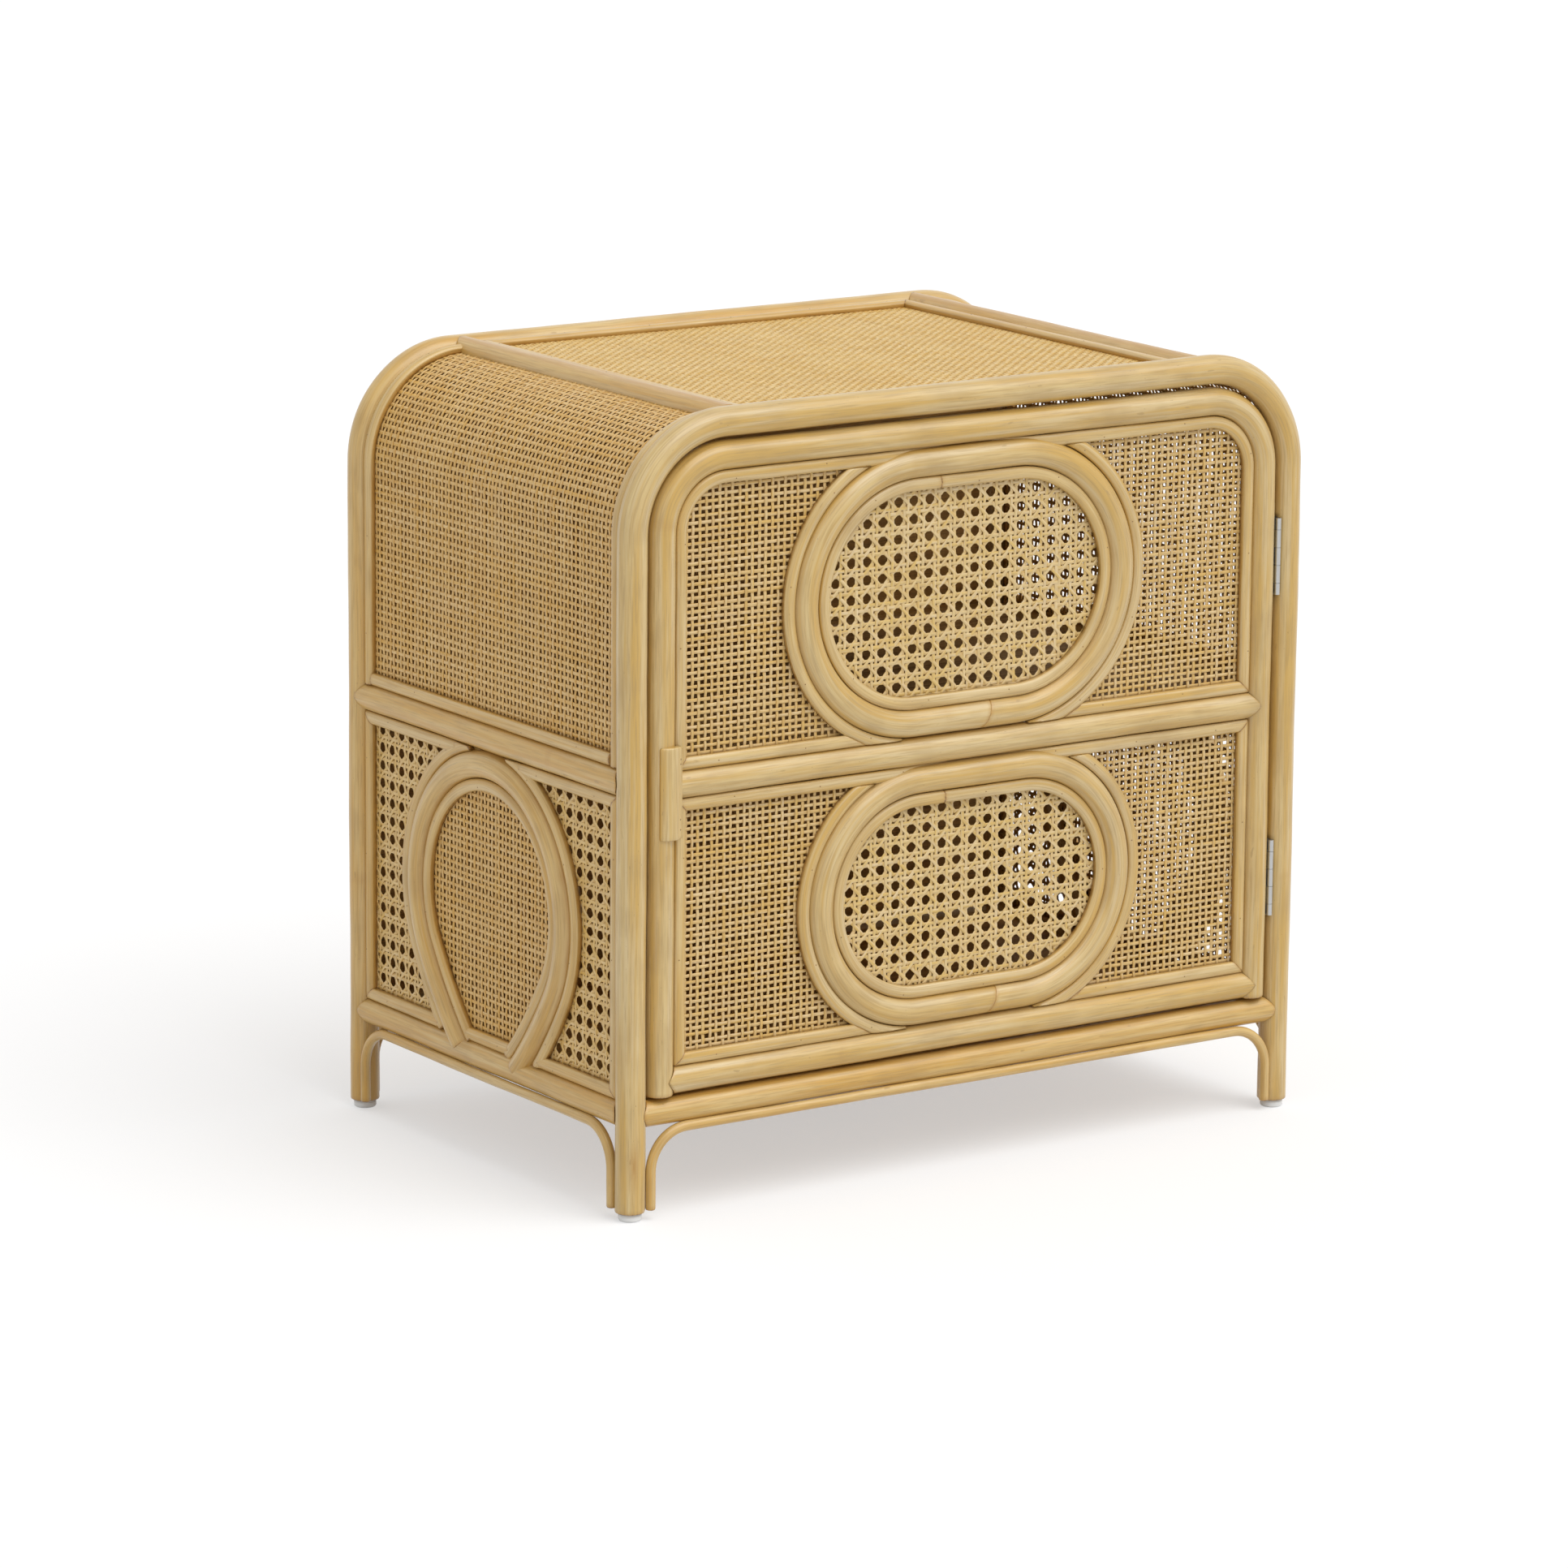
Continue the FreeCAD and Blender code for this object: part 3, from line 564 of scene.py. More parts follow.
def bead(line, plane, seed, seat=webbing / 2, mitre=(0, 0), between=None, pared=(0, 0)):
    """A split bead along a flat line: half round, tucked close beside the pole, and pinned here and there.
    A mitred end is shorter on the left of the line. The bead may be cut off between two heights, and pared
    down over a length at either end."""
    mitre_run = 0.03
    thinnest = 0.06
    pin_spacing = 0.085
    rng = np.random.default_rng(seed)
    line = eased(line)
    along = distances(line)
    length = along[-1]
    wave = sum(np.sin(along * k + rng.uniform(0, 6)) for k in (17, 41, 97)) / 3
    tuck = 0.00026 + 0.00016 * wave
    arch = np.radians(np.linspace(8, 172, 9))
    dome = np.stack([-0.5 * np.cos(arch), bead_side + (bead_height - bead_side) * np.sin(arch)], 1)
    half = np.concatenate([[[-0.5, 0], [-0.5, bead_side]], dome, [[0.5, bead_side], [0.5, 0]]])
    profile = np.repeat(half[None], len(line), 0)
    profile[:, :, 0] *= (bead_width + 2 * tuck)[:, None]
    for run, paring in ((along, pared[0]), (length - along, pared[1])):
        if paring:
            profile[:, :, 1] *= np.clip(run / paring, thinnest, 1)[:, None]
    profile[:, :, 1] += seat
    points, quads, tris = sweep(line, profile)
    start = mitre[0] * np.maximum(0, 1 - along / mitre_run)
    end = mitre[1] * np.maximum(0, 1 - (length - along) / mitre_run)
    slide(points, line, (profile[:, :, 0] + bead_width / 2) * (start - end)[:, None])
    if between:
        points[:, 1] = np.clip(points[:, 1], *between)
    grain = grain_on(along + rng.uniform(0, 40), half[:, 0] * bead_width, half[:, 1])
    # Painted shade: the foot and the flanks of the bead are darkened, most at the foot, as in the groove
    # beside the pole.
    edge = np.select([half[:, 1] == 0, half[:, 1] <= bead_side], [0.9, 0.35], 0.0)
    shade = edge[None] * (0.8 + 0.2 * wave)[:, None]
    shade[[0, 1, -2, -1]] = np.maximum(shade[[0, 1, -2, -1]], 0.9)
    shade[[2, -3]] = np.maximum(shade[[2, -3]], 0.25)
    strip = (plane(points), quads, tris, grain, np.concatenate([shade.ravel(), [0.5, 0.5]]))
    places = np.arange(rng.uniform(0.02, 0.05), length - 0.015, pin_spacing)
    rows = np.searchsorted(along, places) * len(half) + len(half) // 2 + rng.integers(-1, 2, len(places))
    return together([strip] + pin_heads(points[rows], plane))


def framed(u0, u1, v0, v1, plane, seed, seat):
    """Four mitred beads round a rectangle."""
    inset = bead_width / 2
    corners = [
        ((u0, v0 + inset), (u1, v0 + inset)),
        ((u1 - inset, v0), (u1 - inset, v1)),
        ((u1, v1 - inset), (u0, v1 - inset)),
        ((u0 + inset, v1), (u0 + inset, v0)),
    ]
    return [bead(straight(a, b), plane, seed + k, seat, mitre=(1, 1)) for k, (a, b) in enumerate(corners)]


def strips(lines, covers, width, thick, plane, rng):
    """Flat strips laid along lines of (place, rise), cut to the field that they cover."""
    lens = np.array([(-0.5, 0), (-0.41, 0.5), (0.41, 0.5), (0.5, 0), (0.41, -0.5), (-0.41, -0.5)])
    parts = []
    for line, rise in lines:
        inside = np.concatenate([[False], covers(line[:, 0], line[:, 1]), [False]])
        turns = np.flatnonzero(inside[1:] != inside[:-1]).reshape(-1, 2)
        wide = width * rng.uniform(0.90, 1.10)
        tone = rng.uniform(0, 60)
        darker = rng.exponential(0.045)
        for first, last in turns:
            if last - first < 3:
                continue
            run = line[first:last]
            profile = np.repeat((lens * np.array([wide, thick]))[None], len(run), 0)
            profile[:, :, 1] += rise[first:last, None]
            points, quads, tris = sweep(run, profile)
            grain = grain_on(distances(run) + tone, lens[:, 0] * wide + tone, lens[:, 1] * thick)
            grain[-2:] = grain[[0, -3]]
            # Painted shade: each strip is darker along its edges and where it dips under a crossing strip.
            # Its darker tone besides is random.
            dip = np.clip(-rise[first:last] / abs(rise).max(), 0, 1)
            shade = (np.where(lens[:, 1] == 0, 0.45, 0.0)[None] + 0.4 * dip[:, None]).ravel() + darker
            parts.append((plane(points), quads, tris, grain, np.concatenate([shade, [0, 0]])))
    return parts


def plain_weave(u0, u1, v0, v1, pitch_u, pitch_v, rise, rng, uneven=0.00024):
    """The lines of a plain weave: the upright strips and the level ones, each over one and under one."""
    ripple = 30

    def one_way(start, end, pitch, low, high, crossing, hand):
        """The strips that run one way, as (place across, place along, rise)."""
        along = np.arange(low - crossing / 2, high + crossing, crossing / 2)
        for k, place in enumerate(np.arange(start, end, pitch)):
            drift = place + rng.normal(0, uneven) + uneven * np.sin(along * ripple + rng.uniform(0, 6))
            yield drift, along, hand * rise * np.cos(math.pi * ((along - low) / crossing + k))

    uprights = [(np.stack([u, v], 1), wave) for u, v, wave in one_way(u0, u1, pitch_u, v0, v1, pitch_v, 1)]
    levels = [(np.stack([u, v], 1), wave) for v, u, wave in one_way(v0, v1, pitch_v, u0, u1, pitch_u, -1)]
    return uprights, levels


def top_plane(flat):
    """A flat drawing laid on the top."""
    return flat + np.array([0, 0, mat_face])


mat_finish = rattan("close_mat", (0.83, 0.605, 0.240), (0.67, 0.442, 0.130), (0.12, 0.05, 0.012),
                    fibres=30, across=500, bump=0.2, rough=0.36, coat=0.15)
rng = np.random.default_rng(41)
mat_half_x = top_rail_x - rail_radius
mat_half_y = half_depth - pole_radius
mat_front = middle_y - mat_half_y
mat_back = middle_y + mat_half_y
mat_pitch_x = 0.0052
mat_pitch_y = 0.0047
mat_cover = 0.70
mat_thick = 0.0008
mat_rise = 0.0005
mat_uneven = 0.00014
under_bead = 0.004


def on_top(u, v):
    """The part of the top that the mat covers, to just under the beads."""
    return (abs(u) < mat_half_x - under_bead) & (abs(v - middle_y) < mat_half_y - under_bead)


lengthwise, crosswise = plain_weave(
    -mat_half_x, mat_half_x, mat_front, mat_back, mat_pitch_x, mat_pitch_y, mat_rise, rng, mat_uneven)
for name, lines, pitch in (
    ("top_mat_uprights", lengthwise, mat_pitch_x),
    ("top_mat_levels", crosswise, mat_pitch_y),
):
    laid = strips(lines, on_top, pitch * mat_cover, mat_thick, top_plane, rng)
    piece(name, laid, "carcass", "close_mat", mat_finish, "top_mat")
bead_skin = dict(fibres=11, across=420, bump=0.25, rough=0.34, coat=0.5)
bead_finish = rattan(
    "bead_rattan", (0.68, 0.485, 0.195), (0.58, 0.366, 0.108), (0.11, 0.045, 0.009), **bead_skin)
top_frame = framed(-mat_half_x, mat_half_x, mat_front, mat_back, top_plane, 51, 0.0)
piece("top_edge_beads", top_frame, "carcass", "rattan_bead", bead_finish, "top_beads")

# Upper side panels. One sheet of open square weave runs from the middle rail up and over the shoulder to
# the top rail. A bent bead covers its edge beside each arch, and a straight one its foot.
weave_foot = mid_rail_z
climb = top_z - arch_bend - weave_foot
around_shoulder = climb + arch_bend * math.pi / 2
weave_end = around_shoulder + (leg_x - arch_bend - top_rail_x)
side_half = half_depth - pole_radius
weave_pitch_long = 0.0064
weave_pitch_short = 0.0056
strip_width = 0.0032
strip_thick = 0.0008
strip_rise = 0.00042
off_pole = 0.002
into_pole = 0.004


def left_shoulder(flat):
    """A flat drawing of (up and over, across, outward) laid over the left shoulder."""
    angle = np.clip((flat[..., 0] - climb) / arch_bend, 0, math.pi / 2)
    reach = arch_bend + flat[..., 2]
    level = np.maximum(flat[..., 0] - around_shoulder, 0)
    x = -leg_x + arch_bend - reach * np.cos(angle) + level
    z = weave_foot + np.minimum(flat[..., 0], climb) + reach * np.sin(angle)
    return np.stack([x, middle_y - flat[..., 1], z], -1)


def right_shoulder(flat):
    """The same over the right shoulder."""
    return left_shoulder(flat) * np.array([-1, 1, 1])


def on_side(u, v):
    """The part of the side that the sheet covers, to just under the beads."""
    return (u > rail_radius) & (u < weave_end - into_pole) & (abs(v) < side_half - off_pole)


weave_skin = dict(fibres=24, across=600, bump=0.2, rough=0.42, coat=0.1)
weave_finish = rattan(
    "open_weave", (0.77, 0.528, 0.212), (0.66, 0.414, 0.130), (0.18, 0.08, 0.02), **weave_skin)
foot_line = rail_radius + bead_width / 2
foot_short = 0.006
top_cut = weave_end - rail_radius * 0.6
edge = side_half - bead_width / 2
runs = (
    ((rail_radius, -edge), (top_cut, -edge)),
    ((rail_radius, edge), (top_cut, edge)),
    ((foot_line, edge - foot_short), (foot_line, foot_short - edge)),
)
for side, plane, seed in (("left", left_shoulder, 61), ("right", right_shoulder, 66)):
    rng = np.random.default_rng(seed)
    over, level = plain_weave(
        0, weave_end, -side_half, side_half, weave_pitch_long, weave_pitch_short, strip_rise, rng)
    laid = strips(over + level, on_side, strip_width, strip_thick, plane, rng)
    piece(side + "_shoulder_weave", laid, "carcass", "open_weave", weave_finish, side + "_upper_weave")
    trim = [bead(straight(a, b), plane, seed + 1 + k) for k, (a, b) in enumerate(runs)]
    piece(side + "_shoulder_beads", trim, "carcass", "rattan_bead", bead_finish, side + "_upper_beads")

# Lower side panels. Six-way cane fills the bay. A pole bent to a horseshoe stands on the bottom rail with
# its crown under the middle rail, and open weave fills it. Beads follow the pole and the bay's edges.
side_low = bottom_rail_z + bottom_radius
side_high = mid_rail_z - rail_radius
shoe_low, shoe_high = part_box("left_horseshoe")
shoe_radius = (shoe_high.x - shoe_low.x) / 2
shoe_crown = 0.116
shoe_limb = 0.42
shoe_turn = 120
crown_break = 0.052
crown_z = shoe_high.z - shoe_radius - shoe_crown
limb_x = -math.sin(math.radians(shoe_turn)) * (shoe_limb - shoe_crown)
limb_z = crown_z - math.cos(math.radians(shoe_turn)) * (shoe_limb - shoe_crown)


def shoe_line(offset, low):
    """The horseshoe's flat line moved out by an offset, from one foot round to the other."""
    limb = shoe_limb + offset
    drop = math.degrees(math.asin((limb_z - low) / limb))
    start = 90 - shoe_turn
    return joined(
        bend((-limb_x, limb_z), limb, 180 + drop, 180 - start),
        bend((0, crown_z), shoe_crown + offset, 180 - start, start),
        bend((limb_x, limb_z), limb, start, -drop),
    )


def shoe_half(v, offset):
    """Half the horseshoe's width at a height."""
    crown = np.sqrt(np.maximum((shoe_crown + offset) ** 2 - (v - crown_z) ** 2, 0))
    limb = limb_x + np.sqrt(np.maximum((shoe_limb + offset) ** 2 - (v - limb_z) ** 2, 0))
    joint = crown_z + (shoe_crown + offset) * math.sin(math.radians(90 - shoe_turn))
    return np.where(v > joint, crown, limb)


cane_pitch = 0.0156
cane_pair = 0.00215
cane_width = 0.00305
cane_thick = 0.0005


def six_way_cane(u0, u1, v0, v1, rng):
    """The lines of six-way cane: pairs of upright and level strands, and single ones on both slants that
    pass over the one and under the other, so that they leave eight-sided holes."""
    step = cane_pitch / 4
    shift = 0.00026
    ripple = 40
    weaving = 0.0003
    lift = 0.00055
    lines = []
    u = np.arange(u0 - cane_pitch, u1 + cane_pitch, step)
    v = np.arange(v0 - cane_pitch, v1 + cane_pitch, step)
    for start, end, along, low, upright in ((u0, u1, v, v0, True), (v0, v1, u, u0, False)):
        wave = weaving * np.sin(2 * math.pi * (along - low) / cane_pitch)
        for place in np.arange(start - cane_pitch / 2, end + cane_pitch, cane_pitch):
            for hand in (-1, 1):
                drift = place + hand * cane_pair + rng.normal(0, shift)
                drift = drift + shift * np.sin(along * ripple + rng.uniform(0, 6))
                line = [drift, along] if upright else [along, drift]
                lines.append((np.stack(line, 1), -hand * wave if upright else hand * wave))
    reach = int((u1 - u0 + v1 - v0) / cane_pitch) + 2
    for slope in (1, -1):
        wave = slope * lift * np.cos(2 * math.pi * (u - u0) / cane_pitch)
        for k in range(-reach, reach + 1):
            start = v0 + (k + 0.5) * cane_pitch + rng.normal(0, shift)
            lines.append((np.stack([u, start + slope * (u - u0)], 1), wave))
    return lines


cane_skin = dict(fibres=20, across=700, bump=0.15, rough=0.32, coat=0.2)
cane_finish = rattan(
    "cane_webbing", (0.785, 0.565, 0.250), (0.685, 0.465, 0.160), (0.20, 0.10, 0.03), **cane_skin)


def beside_shoe(u, v):
    """The bay outside the horseshoe."""
    inside_bay = (abs(u) < side_half - off_pole) & (v > side_low + off_pole) & (v < side_high - off_pole)
    return inside_bay & (abs(u) > shoe_half(v, 0) + into_pole)


def inside_shoe(u, v):
    """The field inside the horseshoe."""
    return (v > side_low + off_pole) & (v < crown_z + shoe_crown) & (abs(u) < shoe_half(v, 0) - into_pole)


bead_step = shoe_radius + bead_width / 2
edge_z = side_low + bead_width / 2
head_z = side_high - bead_width / 2
foot_out = float(shoe_half(edge_z, bead_step))
foot_in = float(shoe_half(edge_z, -bead_step))
head_out = float(shoe_half(head_z, bead_step))
runs = (
    ((-side_half, edge_z), (-foot_out, edge_z), (1, 0)),
    ((-foot_in, edge_z), (foot_in, edge_z), (0, 0)),
    ((foot_out, edge_z), (side_half, edge_z), (0, 1)),
    ((edge, side_low), (edge, side_high), (1, 1)),
    ((side_half, head_z), (head_out, head_z), (1, 0)),
    ((-head_out, head_z), (-side_half, head_z), (0, 1)),
    ((-edge, side_high), (-edge, side_low), (1, 1)),
)
outside = shoe_line(bead_step, side_low)
before_crown = outside[outside[:, 0] < -crown_break / 2]
after_crown = outside[outside[:, 0] > crown_break / 2]
within = (side_low, side_high)
cane_start_u = -side_half + 0.004
cane_start_v = side_low + 0.006
for side, plane, seed in (("left", left_plane, 71), ("right", right_plane, 81)):
    rng = np.random.default_rng(seed)
    cane = six_way_cane(cane_start_u, side_half, cane_start_v, side_high, rng)
    laid = strips(cane, beside_shoe, cane_width, cane_thick, plane, rng)
    piece(side + "_cane_strands", laid, "carcass", "cane_webbing", cane_finish, side + "_cane")
    up, level = plain_weave(
        -side_half, side_half, side_low, side_high, weave_pitch_short, weave_pitch_long, strip_rise, rng)
    laid = strips(up + level, inside_shoe, strip_width, strip_thick, plane, rng)
    piece(side + "_shoe_weave", laid, "carcass", "open_weave", weave_finish, side + "_horseshoe_weave")
    shoe = pole(shoe_line(0, shoe_low.z), shoe_radius, plane, seed + 1, stain_and_shade=(0.4, 0.4))
    pole_piece(side + "_horseshoe", shoe)
    hugging = [
        bead(before_crown, plane, seed + 2, between=within),
        bead(after_crown, plane, seed + 10, between=within),
        bead(shoe_line(-bead_step, side_low), plane, seed + 11),
    ]
    piece(side + "_shoe_beads", hugging, "carcass", "rattan_bead", bead_finish, side + "_horseshoe_beads")
    trim = [bead(straight(a, b), plane, seed + 3 + k, mitre=cut) for k, (a, b, cut) in enumerate(runs)]
    piece(side + "_bay_beads", trim, "carcass", "rattan_bead", bead_finish, side + "_lower_beads")

# Back. Two thin stained plywood panels, let in between the back arch and its rails and pinned. Split beads
# cover their outer edges: one bent round the upper panel with a straight one along its foot, four below.
panel_low, panel_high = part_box("back_upper_panel")
panel_half = panel_high.x
panel_out = panel_high.y - back_y
back_bend = arch_bend - pole_radius
finish_node("back_upper_panel", plywood)
finish_node("back_lower_panel", plywood)
inset = bead_width / 2
hoop = upturned_u(panel_half - inset, panel_low.z, panel_high.z - inset, back_bend - inset)[::-1]
foot = straight((-panel_half, panel_low.z + inset), (panel_half, panel_low.z + inset))
trim = [bead(line, back_plane, 91 + k, panel_out, mitre=(1, 1)) for k, line in enumerate((hoop, foot))]
trim += framed(-panel_half, panel_half, side_low, side_high, back_plane, 93, panel_out)
piece("back_edge_beads", trim, "carcass", "rattan_bead", bead_finish, "back_beads")

# Inside. A bottom board between the bottom rails, and a shelf between the middle rails under a thin mat of
# stained strip that runs from side to side.
shelf_strip = stained_board("shelf_strip", (0.66, 0.42, 0.16), (0.36, 0.19, 0.05), (5, 260, 5), 0.55)
finish_node("bottom_board", plywood)
finish_node("shelf_board", plywood)
finish_node("shelf_mat", shelf_strip)

# Door frame. One pole bent to an upturned U, with a middle rail and a bottom rail hollowed round its
# stiles. Flats in the right stile take the hinge leaves.
door_low, door_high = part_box("door_arch")
door_radius = (door_high.y - door_low.y) / 2
door_x = -door_low.x - door_radius
door_top = door_high.z - door_radius
door_bend = 0.0603
door_rail_low, door_rail_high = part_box("door_mid_rail")
door_rail_radius = (door_rail_high.z - door_rail_low.z) / 2
door_mid_z = (door_rail_high.z + door_rail_low.z) / 2
door_foot_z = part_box("door_bottom_rail")[0].z + door_rail_radius
door_leaf_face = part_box("hinge_door_leaves")[0].x
stile = pole(upturned_u(door_x, door_low.z, door_top, door_bend, leaf_stops), door_radius, front_plane, 101,
             stain_and_shade=(0, 0.3))
let_in(stile, door_leaf_face, np.minimum)
pole_piece("door_arch", stile, "door", front_lit_pole)
for node, height, seed in (("door_mid_rail", door_mid_z, 102), ("door_bottom_rail", door_foot_z, 103)):
    part = rail(front_plane, door_x, height, door_rail_radius, door_radius, seed)
    pole_piece(node, part, "door", front_lit_pole)

# Door bays. In each a pole bent to a long ring is pinned between the rails. Open weave fills the bay
# outside it and six-way cane fills the ring; split beads run round the ring and round the bay.
bay_half = door_x - door_radius
bay_bend = door_bend - door_radius


def ring_line(centre_u, centre_v, half_straight, radius, start, run):
    """The flat line of a long ring, two level runs and two half circles, from a place in its top run, 1, or
    its bottom run, -1, round to the same place."""
    right = centre_u + half_straight
    left = centre_u - half_straight
    near = centre_v + run * radius
    far = centre_v - run * radius
    return joined(
        straight((start, near), (right, near)),
        bend((right, centre_v), radius, 90 * run, -90 * run),
        straight((right, far), (left, far)),
        bend((left, centre_v), radius, -90 * run, -270 * run),
        straight((left, near), (start, near)),
    )


door_strip_width = 0.0029
# Paler copies of the webbing and bead finishes for the door in front: painted light for the lamp it faces.
# The sides keep the shaded copies.
front_lit_weave = rattan(
    "front_lit_open_weave", (0.745, 0.552, 0.272), (0.64, 0.438, 0.170), (0.18, 0.08, 0.02), **weave_skin)
front_lit_cane = rattan(
    "front_lit_cane_webbing", (0.765, 0.590, 0.318), (0.67, 0.490, 0.207), (0.20, 0.10, 0.03), **cane_skin)
front_lit_bead = rattan(
    "front_lit_bead_rattan", (0.68, 0.508, 0.232), (0.58, 0.388, 0.138), (0.11, 0.046, 0.010), **bead_skin)
arc_foot = -84
arc_step = 0.002
neck_short = 0.030
paring = 0.062


def door_bay(name, low, high, arched, seed):
    """The ring, webbing and beads of one bay."""
    ring_low, ring_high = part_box(name + "_ring")
    centre_u = (ring_low.x + ring_high.x) / 2
    centre_v = (ring_low.z + ring_high.z) / 2
    axis = (ring_high.z - ring_low.z) / 2 - door_radius
    half_straight = (ring_high.x - ring_low.x) / 2 - axis - door_radius
    scarf_u = centre_u + half_straight * 0.4
    line = ring_line(centre_u, centre_v, half_straight, axis, scarf_u, -1)
    ring = pole(line, door_radius, front_plane, seed, stain_and_shade=(0.3, 0.2), scarf=0.4)
    pole_piece(name + "_ring", ring, "door", front_lit_pole)

    def from_ring(u, v):
        """How far outside the ring's own line a place is."""
        return np.hypot(np.maximum(abs(u - centre_u) - half_straight, 0), v - centre_v) - axis

    def in_bay(u, v):
        """The bay outside the ring, to just under its beads."""
        inside = (abs(u) < bay_half - off_pole) & (v > low + off_pole) & (v < high - off_pole)
        if arched:
            over = np.hypot(np.maximum(abs(u) - bay_half + bay_bend, 0), np.maximum(v - high + bay_bend, 0))
            inside &= over < bay_bend - off_pole
        return inside & (from_ring(u, v) > into_pole)

    def in_ring(u, v):
        """The field inside the ring."""
        return from_ring(u, v) < -into_pole

    rng = np.random.default_rng(seed + 1)
    up, level = plain_weave(
        -bay_half, bay_half, low, high, weave_pitch_long, weave_pitch_short, strip_rise, rng)
    laid = strips(up + level, in_bay, door_strip_width, strip_thick, front_plane, rng)
    piece(name + "_bay_weave", laid, "door", "open_weave", front_lit_weave, name + "_weave")
    reach = half_straight + axis
    cane = six_way_cane(centre_u - reach, centre_u + reach, centre_v - axis, centre_v + axis, rng)
    laid = strips(cane, in_ring, cane_width, cane_thick, front_plane, rng)
    piece(name + "_ring_cane", laid, "door", "cane_webbing", front_lit_cane, name + "_cane")

    inset = bead_width / 2
    butt_u = centre_u - half_straight * 0.55
    inner = ring_line(centre_u, centre_v, half_straight, axis - door_radius - inset, butt_u, 1)
    hugging = [bead(inner, front_plane, seed + 2)]
    outer = axis + door_radius + inset
    rise = math.degrees(math.asin((high - bead_width - centre_v) / (axis + door_radius)))
    within = (low, high - bead_width)
    for facing in (1, -1):
        arc = bend((centre_u + half_straight, centre_v), outer, rise, arc_foot, arc_step)
        arc = (arc - [centre_u, 0]) * [facing, 1] + [centre_u, 0]
        hugging.append(bead(arc[::facing], front_plane, seed + 3 + facing, between=within))
    piece(name + "_hugging_beads", hugging, "door", "rattan_bead", front_lit_bead, name + "_ring_beads")

    neck = half_straight - neck_short
    if arched:
        hoop = upturned_u(bay_half - inset, low, high - inset, bay_bend - inset)[::-1]
        runs = [
            (hoop[hoop[:, 0] > centre_u + neck], (1, 0), (0, paring)),
            (hoop[hoop[:, 0] < centre_u - neck], (0, 1), (paring, 0)),
        ]
    else:
        edge = bay_half - inset
        head = high - inset
        runs = [
            (straight((edge, low), (edge, high)), (1, 1), (0, 0)),
            (straight((bay_half, head), (centre_u + neck, head)), (1, 0), (0, paring)),
            (straight((centre_u - neck, head), (-bay_half, head)), (0, 1), (paring, 0)),
            (straight((-edge, high), (-edge, low)), (1, 1), (0, 0)),
        ]
    trim = [bead(line, front_plane, seed + 5 + k, mitre=m, pared=p) for k, (line, m, p) in enumerate(runs)]

    def ring_edge(drop):
        """Half the width over the outer beads, at a drop below the ring's middle."""
        return half_straight + math.sqrt((outer + inset) ** 2 - drop ** 2)

    foot = low + inset
    meeting = ring_edge(centre_v - low)
    slant = (ring_edge(centre_v - low - bead_width) - meeting) / bead_width
    left_foot = straight((-bay_half, foot), (centre_u - meeting, foot))
    right_foot = straight((centre_u + meeting, foot), (bay_half, foot))
    trim += [
        bead(left_foot, front_plane, seed + 9, mitre=(1, slant)),
        bead(right_foot, front_plane, seed + 10, mitre=(slant, 1)),
    ]
    piece(name + "_edge_beads", trim, "door", "rattan_bead", front_lit_bead, name + "_bay_beads")


door_bay("upper", door_mid_z + door_rail_radius, door_top - door_radius, True, 111)
door_bay("lower", door_foot_z + door_rail_radius, door_mid_z - door_rail_radius, False, 131)

# Door handle. A low block split from a thick pole, round in front with upright sides and eased ends, coped
# over the free stile at the middle rail, glued, and pinned from the front along its inner side.
handle_low, handle_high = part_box("door_handle")
handle_half = (handle_high.x - handle_low.x) / 2
handle_x = (handle_high.x + handle_low.x) / 2
handle_out = front_y - handle_low.y
handle_back = front_y - handle_high.y
handle_side = 0.0045
handle_ease = 0.0008
handle_crown = handle_out - handle_back - handle_side
handle_squareness = 2.6
grain_start = 3.0
handle_line = eased(straight((handle_x, handle_low.z), (handle_x, handle_high.z), 0.003))
along = distances(handle_line)
worn = np.zeros(len(along))
worn[:3] = (0.0012, 0.0004, 0.0001)
worn[-3:] = worn[:3][::-1]
across = np.sin(np.radians(np.linspace(90, -90, 19)))
face = np.stack([across, handle_out - handle_crown * abs(across) ** handle_squareness], 1)
shoulder = handle_out - handle_crown - handle_ease
behind = np.array([(-1, shoulder), (-1, handle_back), (1, handle_back), (1, shoulder)])
profile = np.repeat(np.concatenate([face, behind])[None], len(along), 0)
profile[:, :, 0] *= handle_half - worn[:, None]
profile[:, :len(face), 1] -= worn[:, None]
points, quads, tris = sweep(handle_line, profile)
grain = grain_on(along + grain_start, profile[:, :, 0], profile[:, :, 1])
handle = (front_plane(points), quads, tris, grain, np.zeros(len(points)))
pin_across = 0.66
pin_out = handle_out - handle_crown * pin_across ** handle_squareness
pin_drops = (0.010, 0.014, 0.060, 0.0685)
pin_radius = 0.0008
spots = [(handle_x + pin_across * handle_half, handle_high.z - drop, pin_out) for drop in pin_drops]
handle_parts = [handle] + pin_heads(spots, front_plane, pin_radius)
piece("handle_block", handle_parts, "door", "rattan_pole", front_lit_pole, "door_handle")

# Hinges. Two plain steel butt hinges of five knuckles on a pin, their leaves let into flats on the leg and
# on the door stile, each leaf held by three countersunk screws.
leaf_thick = 0.001
screw_y = leaf_high.y - 0.005
screw_step = 0.02
screw_rows = [
    (low + high) / 2 + step for low, high in leaf_spans for step in (-screw_step, 0, screw_step)]


